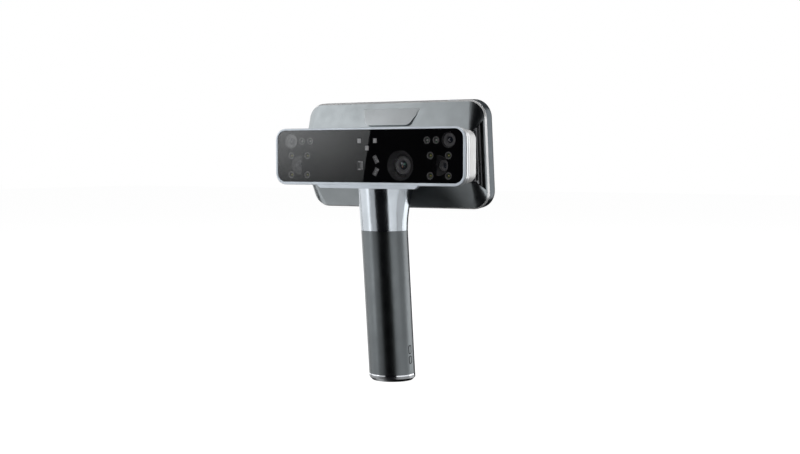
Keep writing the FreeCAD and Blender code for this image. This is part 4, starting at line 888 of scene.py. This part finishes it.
@dataclass
class Head:
    """The display head, in the frame that leans with the handle."""

    middle: float = 199.4
    waist_tall: float = 46.0
    waist_depth: float = 13.0
    slope_tall: float = 92.6
    slope_depth: float = 24.9
    frame_size: Size = (185.2, 95.0, 16.0)
    band: tuple[float, float] = (24.9, 35.5)
    glass: Size = (176.0, 86.0, 10.0)
    badge_half: tuple[float, float, float] = (19.0, 27.1, 29.2)
    badge_levels: tuple[float, float, float] = (227.1, 235.3, 241.1)
    badge_rise: float = 2.0
    badge_sunk: float = 0.35
    badge_round: float = 1.3

    def front(self) -> None:
        """The sloped front shell."""
        node = "head_front_shell"
        Shape.copied(bpy.data.objects[node]).piece("front_slopes", "scanner", [Finishes.gunmetal], [node],
                                                   "gunmetal_shell", smooth=28.0)

    def vents(self) -> None:
        """The side grilles, whose slats' front faces get a lighter finish as a painted highlight."""
        for side in ("left", "right"):
            node = f"vent_grille_{side}"
            shape = Shape.copied(bpy.data.objects[node])
            # Faces turned to the front get the lighter finish, a painted highlight.
            shape.painted(1, lambda f: f.normal.y < -0.93)
            shape.piece(f"{side}_vent", "scanner", [Finishes.vent, Finishes.slat], [node], "vent_metal",
                        smooth=30.0)

    def ring(self, inset: float, depth: float) -> Section:
        """The band's outline made smaller by an inset, at a depth."""
        wide, tall, corner = self.frame_size
        return Section(wide - 2 * inset, tall - 2 * inset, corner - inset, depth, self.middle)

    def side_band(self) -> None:
        """The side band, with its front chamfer painted near white as a painted highlight, and a parting line
        behind.
        """
        front, back = self.band
        rows = [(1.25, front), (1.15, front + 0.1), (0.12, front + 1.5), (0.0, front + 1.8),
                (0.0, back - 0.25), (0.2, back)]
        sections = [self.ring(inset, depth) for inset, depth in rows]
        sections += [self.ring(2.2, back), self.ring(2.2, front)]
        shape = Shape().loft(sections, ring=True, steps=14)
        near = front + 1.7
        # Front chamfer faces get the near-white finish, a painted highlight.
        shape.painted(1, lambda f: f.calc_center_median().y < near and -0.999 < f.normal.y < -0.2)
        shape.piece("head_side_band", "scanner", [Finishes.steelblue, Finishes.edge], ["head_frame"],
                    "head_band", LEAN)

    def rear(self) -> None:
        """The rear frame round the display, and the glass."""
        back = self.band[1]
        rows = [(0.25, back), (0.05, back + 0.15), (0.1, back + 0.9), (0.6, back + 1.5), (1.3, back + 1.7)]
        sections = [self.ring(inset, depth) for inset, depth in rows]
        wide, tall, corner = self.glass
        sections += [Section(wide + 2 * room, tall + 2 * room, corner + room, depth, self.middle)
                     for room, depth in ((0.25, back + 1.7), (0.1, back + 1.5), (0.1, back))]
        Shape().loft(sections, ring=True, steps=14).piece(
            "rear_frame", "scanner", [Finishes.moulded], ["rear_bezel"], "black_plastic", LEAN)
        pane = [Section(wide - 2 * inset, tall - 2 * inset, corner - inset, depth, self.middle)
                for inset, depth in ((0.0, back + 0.5), (0.0, back + 1.3), (0.3, back + 1.5))]
        Shape().loft(pane, steps=14).piece("display_pane", "scanner", [Finishes.screen], ["display_glass"],
                                           "screen_glass", LEAN)

    def on_slope(self, level: float) -> float:
        """Depth of the upper slope at a height."""
        rise = (self.slope_tall - self.waist_tall) / 2 / (self.slope_depth - self.waist_depth)
        return self.waist_depth + (level - self.middle - self.waist_tall / 2) / rise

    def badge(self) -> None:
        """The blank pad on the upper slope, with rounded lower corners."""
        low, knee, high = self.badge_levels
        a, b, c = self.badge_half
        half = [(a, low), (a + 2.0, low + 0.3), (a + 4.2, low + 1.6), (b, knee), (c, high)]
        profile = [(-x, z) for x, z in reversed(half)] + half
        shape = Shape()
        lift = self.badge_rise / (high - low)
        shape.bm.faces.new([shape.bm.verts.new((x, self.on_slope(z) - lift * (high - z), z))
                            for x, z in profile])
        made = bmesh.ops.extrude_face_region(shape.bm, geom=shape.bm.faces[:])["geom"]
        for item in made:
            if isinstance(item, bmesh.types.BMVert):
                item.co.y = self.on_slope(item.co.z) + self.badge_sunk
        bmesh.ops.recalc_face_normals(shape.bm, faces=shape.bm.faces)
        shape.softened(self.badge_round, 55.0, 5)
        shape.piece("badge_pad", "scanner", [Finishes.badge], ["badge_plate"], "badge_metal", LEAN, smooth=40)

    def build(self) -> None:
        """Builds every piece of the head."""
        self.front()
        self.vents()
        self.side_band()
        self.rear()
        self.badge()


# ------------------------------------------------------------------ handle

@dataclass
class Handle:
    """Neck, grip and keys, in the frame that leans with the handle."""

    radius: float = 20.65
    mark_turn: float = -3.0
    mark_levels: tuple[tuple[float, float], ...] = ((15.6, 22.9), (24.6, 32.6))
    mark_half: float = 2.1

    def neck(self) -> None:
        """The two neck shells."""
        for part in ("front", "rear"):
            node = f"neck_{part}_shell"
            Shape.copied(bpy.data.objects[node]).piece("neck_" + part, "scanner", [Finishes.neck], [node],
                                                       "neck_metal", smooth=35.0)

    def mark(self) -> None:
        """Two pressed rounded outlines low on the right-hand side of the grip."""
        shape = Shape()
        for low, high in self.mark_levels:
            middle, tall = (low + high) / 2, high - low
            outer = (2 * self.mark_half, tall, 1.6)
            inner = (2 * self.mark_half - 1.8, tall - 1.8, 0.7)
            sections = [Section(*size, depth, middle)
                        for size, depth in ((outer, -0.06), (inner, -0.06), (inner, 0.3), (outer, 0.3))]
            shape.loft(sections, ring=True, steps=6)
        long = [edge for edge in shape.bm.edges if edge.calc_length() > 1.2]
        bmesh.ops.subdivide_edges(shape.bm, edges=long, cuts=2)
        for vert in shape.bm.verts:
            angle = math.radians(self.mark_turn) + vert.co.x / self.radius
            reach = self.radius - vert.co.y
            vert.co = (reach * math.cos(angle), reach * math.sin(angle), vert.co.z)
        bmesh.ops.recalc_face_normals(shape.bm, faces=shape.bm.faces)
        shape.piece("grip_mark", "scanner", [Finishes.marking], (), "grip_rubber", LEAN)

    def copies(self) -> None:
        """The round pieces, with softened edges."""
        cases = [
            ("grip_sleeve", "grip", "scanner", Finishes.rubber, "grip_rubber", 0.25),
            ("base_ring", "bright_ring", "scanner", Finishes.chrome, "chrome_ring", 0.12),
            ("base_cap", "end_cap", "battery_pack", Finishes.cap, "cap_plastic", 0.3),
            ("keypad_bezel", "key_surround", "scanner", Finishes.key, "key_plastic", 0.12),
            ("rocker_key", "zoom_rocker", "rocker", Finishes.key, "key_plastic", 0.18),
            ("scan_button", "trigger_key", "scan_key", Finishes.accent, "key_accent", 0.18),
        ]
        for node, name, body, finish, slot, width in cases:
            shape = Shape.copied(bpy.data.objects[node]).softened(width, 50.0)
            shape.piece(name, body, [finish], [node], slot)

    def build(self) -> None:
        """Builds every piece of the handle."""
        self.neck()
        self.copies()
        self.mark()


# ------------------------------------------------------------------ carried-over nodes

@dataclass
class Inside:
    """CAD nodes that keep their own shape and get a finish."""

    finishes: dict[str, Finish] = field(default_factory=lambda: {
        "window_frame": Finishes.black, "blower_case": Finishes.moulded, "blower_rotor": Finishes.camera,
        "display_panel": Finishes.panel, "chassis_plate": Finishes.cast, "heat_sink": Finishes.cast,
        "optics_beam": Finishes.cast, "neck_core": Finishes.cast, "chassis_screws": Finishes.screw,
        "optics_screws": Finishes.screw, "port_socket": Finishes.screw, "main_board": Finishes.board,
        "optics_board": Finishes.board, "lamp_boards": Finishes.board, "keypad_board": Finishes.board,
        "board_parts": Finishes.chip, "antennas": Finishes.flex, "optics_flex": Finishes.flex,
        "pattern_projector": Finishes.laser, "laser_modules": Finishes.laser, "battery_leads": Finishes.lead,
        "contact_block": Finishes.gold, "battery_lid": Finishes.gold, "handle_tube": Finishes.tube,
        "battery_liner": Finishes.liner, "battery_can": Finishes.liner, "battery_cells": Finishes.wrap,
        "base_seal": Finishes.seal, "port_cover": Finishes.seal, "power_button": Finishes.silver,
    })

    def build(self, nodes: dict[str, bpy.types.Object]) -> None:
        """Dresses the nodes.

        Args:
            nodes: The CAD nodes by name.
        """
        for name, finish in self.finishes.items():
            mesh = nodes[name].data
            mesh.materials.clear()
            mesh.materials.append(finish.made())
            LOG.info("%s: %s", name, finish.name)


# ------------------------------------------------------------------ studio

@dataclass(frozen=True)
class Softbox:
    """A rectangular studio light aimed at the object.

    Attributes:
        name: Its name.
        bearing: Degrees from the front towards the right.
        raise_by: Degrees above the level.
        away: Distance in metres.
        wide: Width in metres.
        tall: Height in metres.
        radiance: Brightness of its face.
        mirrored: Whether glossy surfaces show it.
    """

    name: str
    bearing: float
    raise_by: float
    away: float
    wide: float
    tall: float
    radiance: float
    mirrored: bool = True

    def build(self, target: Vector) -> None:
        """Adds the light."""
        lamp = bpy.data.lights.new(self.name, "AREA")
        lamp.shape = "RECTANGLE"
        lamp.size, lamp.size_y = self.wide, self.tall
        lamp.energy = self.radiance * math.pi * self.wide * self.tall
        made = bpy.data.objects.new(self.name, lamp)
        bpy.context.scene.collection.objects.link(made)
        bearing, rise = math.radians(self.bearing), math.radians(self.raise_by)
        level = math.cos(rise)
        way = Vector((math.sin(bearing) * level, -math.cos(bearing) * level, math.sin(rise)))
        made.location = target + way * self.away
        made.rotation_euler = way.to_track_quat("Z", "Y").to_euler()
        made.visible_camera = False
        made.visible_glossy = self.mirrored


@dataclass
class Studio:
    """Camera, lights, pale floor and the card that the window mirrors, in metres.

    The card's slanted edge is given by the two points (across, height) where it shows in the window's plane.
    """

    eye: tuple[float, float, float] = (0.58466, -0.94387, 0.19741)
    back: tuple[float, float, float] = (0.52068, -0.85200, 0.05463)
    right: tuple[float, float, float] = (0.85328, 0.52146, 0.00002)
    lens: float = 55.88
    card_plane: float = -0.04305
    card_line: tuple[tuple[float, float], ...] = ((0.00394, 0.2225), (-0.004, 0.1772))
    card_reach: float = 1.25
    card_wide: float = 0.34
    target: Vector = field(default_factory=lambda: Vector((0.0, 0.0, 0.16)))
    boxes: tuple[Softbox, ...] = (
        Softbox("key_left", -66, 10, 1.35, 1.7, 1.9, 1.15),
        Softbox("crown_left", -36, 37, 1.3, 0.8, 0.45, 0.42),
        Softbox("wrap_left", -122, 8, 1.35, 1.1, 1.5, 1.0),
        Softbox("low_left", -28, -18, 1.1, 0.85, 0.5, 0.62),
        Softbox("under_left", -88, -52, 1.1, 0.7, 0.7, 1.1),
        Softbox("key_right", 76, -4, 1.35, 0.95, 0.56, 1.0),
        Softbox("neck_right", 112, -6, 1.35, 0.7, 0.36, 0.7),
        Softbox("grip_right", 98, -25, 1.2, 2.0, 0.4, 0.9),
        Softbox("wrap_right", 150, 4, 1.35, 1.0, 1.2, 1.7),
        Softbox("front_fill", 10, 25, 1.6, 1.2, 1.2, 4.6, mirrored=False),
        Softbox("rear_key", 180, 58, 1.7, 1.4, 0.9, 2.0),
    )

    def camera(self) -> None:
        """The camera, level and turned to the object."""
        data = bpy.data.cameras.new("camera")
        data.lens = self.lens
        data.sensor_width = 36.0
        made = bpy.data.objects.new("camera", data)
        bpy.context.scene.collection.objects.link(made)
        back, right = Vector(self.back).normalized(), Vector(self.right).normalized()
        turn = Matrix((right, back.cross(right), back)).transposed().to_4x4()
        made.matrix_world = Matrix.Translation(self.eye) @ turn
        bpy.context.scene.camera = made

    def card(self) -> None:
        """A shaded card at the front left, whose slanted right edge shows as a line across the window."""
        ghost = Vector((self.eye[0], 2 * self.card_plane - self.eye[1], self.eye[2]))
        seen = [Vector((across, self.card_plane, height)) for across, height in self.card_line]
        edge = [point + (point - ghost) * self.card_reach for point in seen]
        slant = edge[0] - edge[1]
        high, low = edge[0] + slant * 0.25, edge[1] - slant * 0.25
        side = Vector((-self.card_wide, 0.0, 0.0))
        mesh = bpy.data.meshes.new("window_card")
        bm = bmesh.new()
        bm.faces.new([bm.verts.new(v) for v in (low, low + side, high + side, high)])
        bm.to_mesh(mesh)
        bm.free()
        made = bpy.data.objects.new("window_card", mesh)
        bpy.context.scene.collection.objects.link(made)
        material = bpy.data.materials.new("card_glow")
        material.use_nodes = True
        graph = Graph(material.node_tree)
        x, _, z = graph.axes(graph.point())
        across = (x + z * -0.17) * -1.0
        start, stop = -edge[1].x / MM, -edge[1].x / MM + 260
        glow = (across - start) / (stop - start)
        height = (z - edge[1].z / MM) / (slant.z / MM)
        strength = 0.1 + glow * 0.17 + height * (0.12 + glow * 0.42)
        graph.finish(graph.add("ShaderNodeEmission", None, (0.97, 0.99, 1.0, 1.0), strength))
        mesh.materials.append(material)
        made.visible_camera = False
        made.visible_shadow = False

    def ground(self) -> None:
        """A wide pale floor that only the camera sees, with a trace of shadow."""
        mesh = bpy.data.meshes.new("floor")
        bm = bmesh.new()
        bmesh.ops.create_grid(bm, x_segments=1, y_segments=1, size=6.0)
        bm.to_mesh(mesh)
        bm.free()
        made = bpy.data.objects.new("floor", mesh)
        made.location.z = -0.0005
        bpy.context.scene.collection.objects.link(made)
        material = bpy.data.materials.new("floor_white")
        material.use_nodes = True
        graph = Graph(material.node_tree)
        graph.finish(graph.add("ShaderNodeBsdfPrincipled", None, Base_Color=(0.25, 0.25, 0.25, 1.0),
                               Roughness=0.9, Specular_IOR_Level=0.0,
                               Emission_Color=(1.0, 1.0, 1.0, 1.0), Emission_Strength=0.985))
        mesh.materials.append(material)
        made.visible_glossy = False
        made.visible_diffuse = False
        made.visible_shadow = False

    def surroundings(self) -> None:
        """A white backdrop for the camera and a dark room for everything else."""
        world = bpy.data.worlds.new("studio")
        bpy.context.scene.world = world
        world.use_nodes = True
        graph = Graph(world.node_tree)
        seen = graph.add("ShaderNodeLightPath", output="Is Camera Ray")
        dark = graph.add("ShaderNodeBackground", None, (0.004, 0.004, 0.005, 1.0), 1.0)
        pale = graph.add("ShaderNodeBackground", None, (1.0, 1.0, 1.0, 1.0), 1.0)
        graph.add("ShaderNodeOutputWorld", None, graph.add("ShaderNodeMixShader", None, seen, dark, pale))

    def build(self) -> None:
        """Sets up the studio."""
        bpy.context.scene.view_settings.view_transform = "Standard"
        self.camera()
        for box in self.boxes:
            box.build(self.target)
        self.card()
        self.ground()
        self.surroundings()


def main() -> None:
    """Loads the frame and builds every sub-assembly."""
    logging.basicConfig(level=logging.INFO, format="%(name)s: %(message)s")
    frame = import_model()
    Inside().build(frame["nodes"])
    for assembly in (Bar(), Optics(), Head(), Handle(), Studio()):
        assembly.build()


if __name__ == "__main__":
    main()
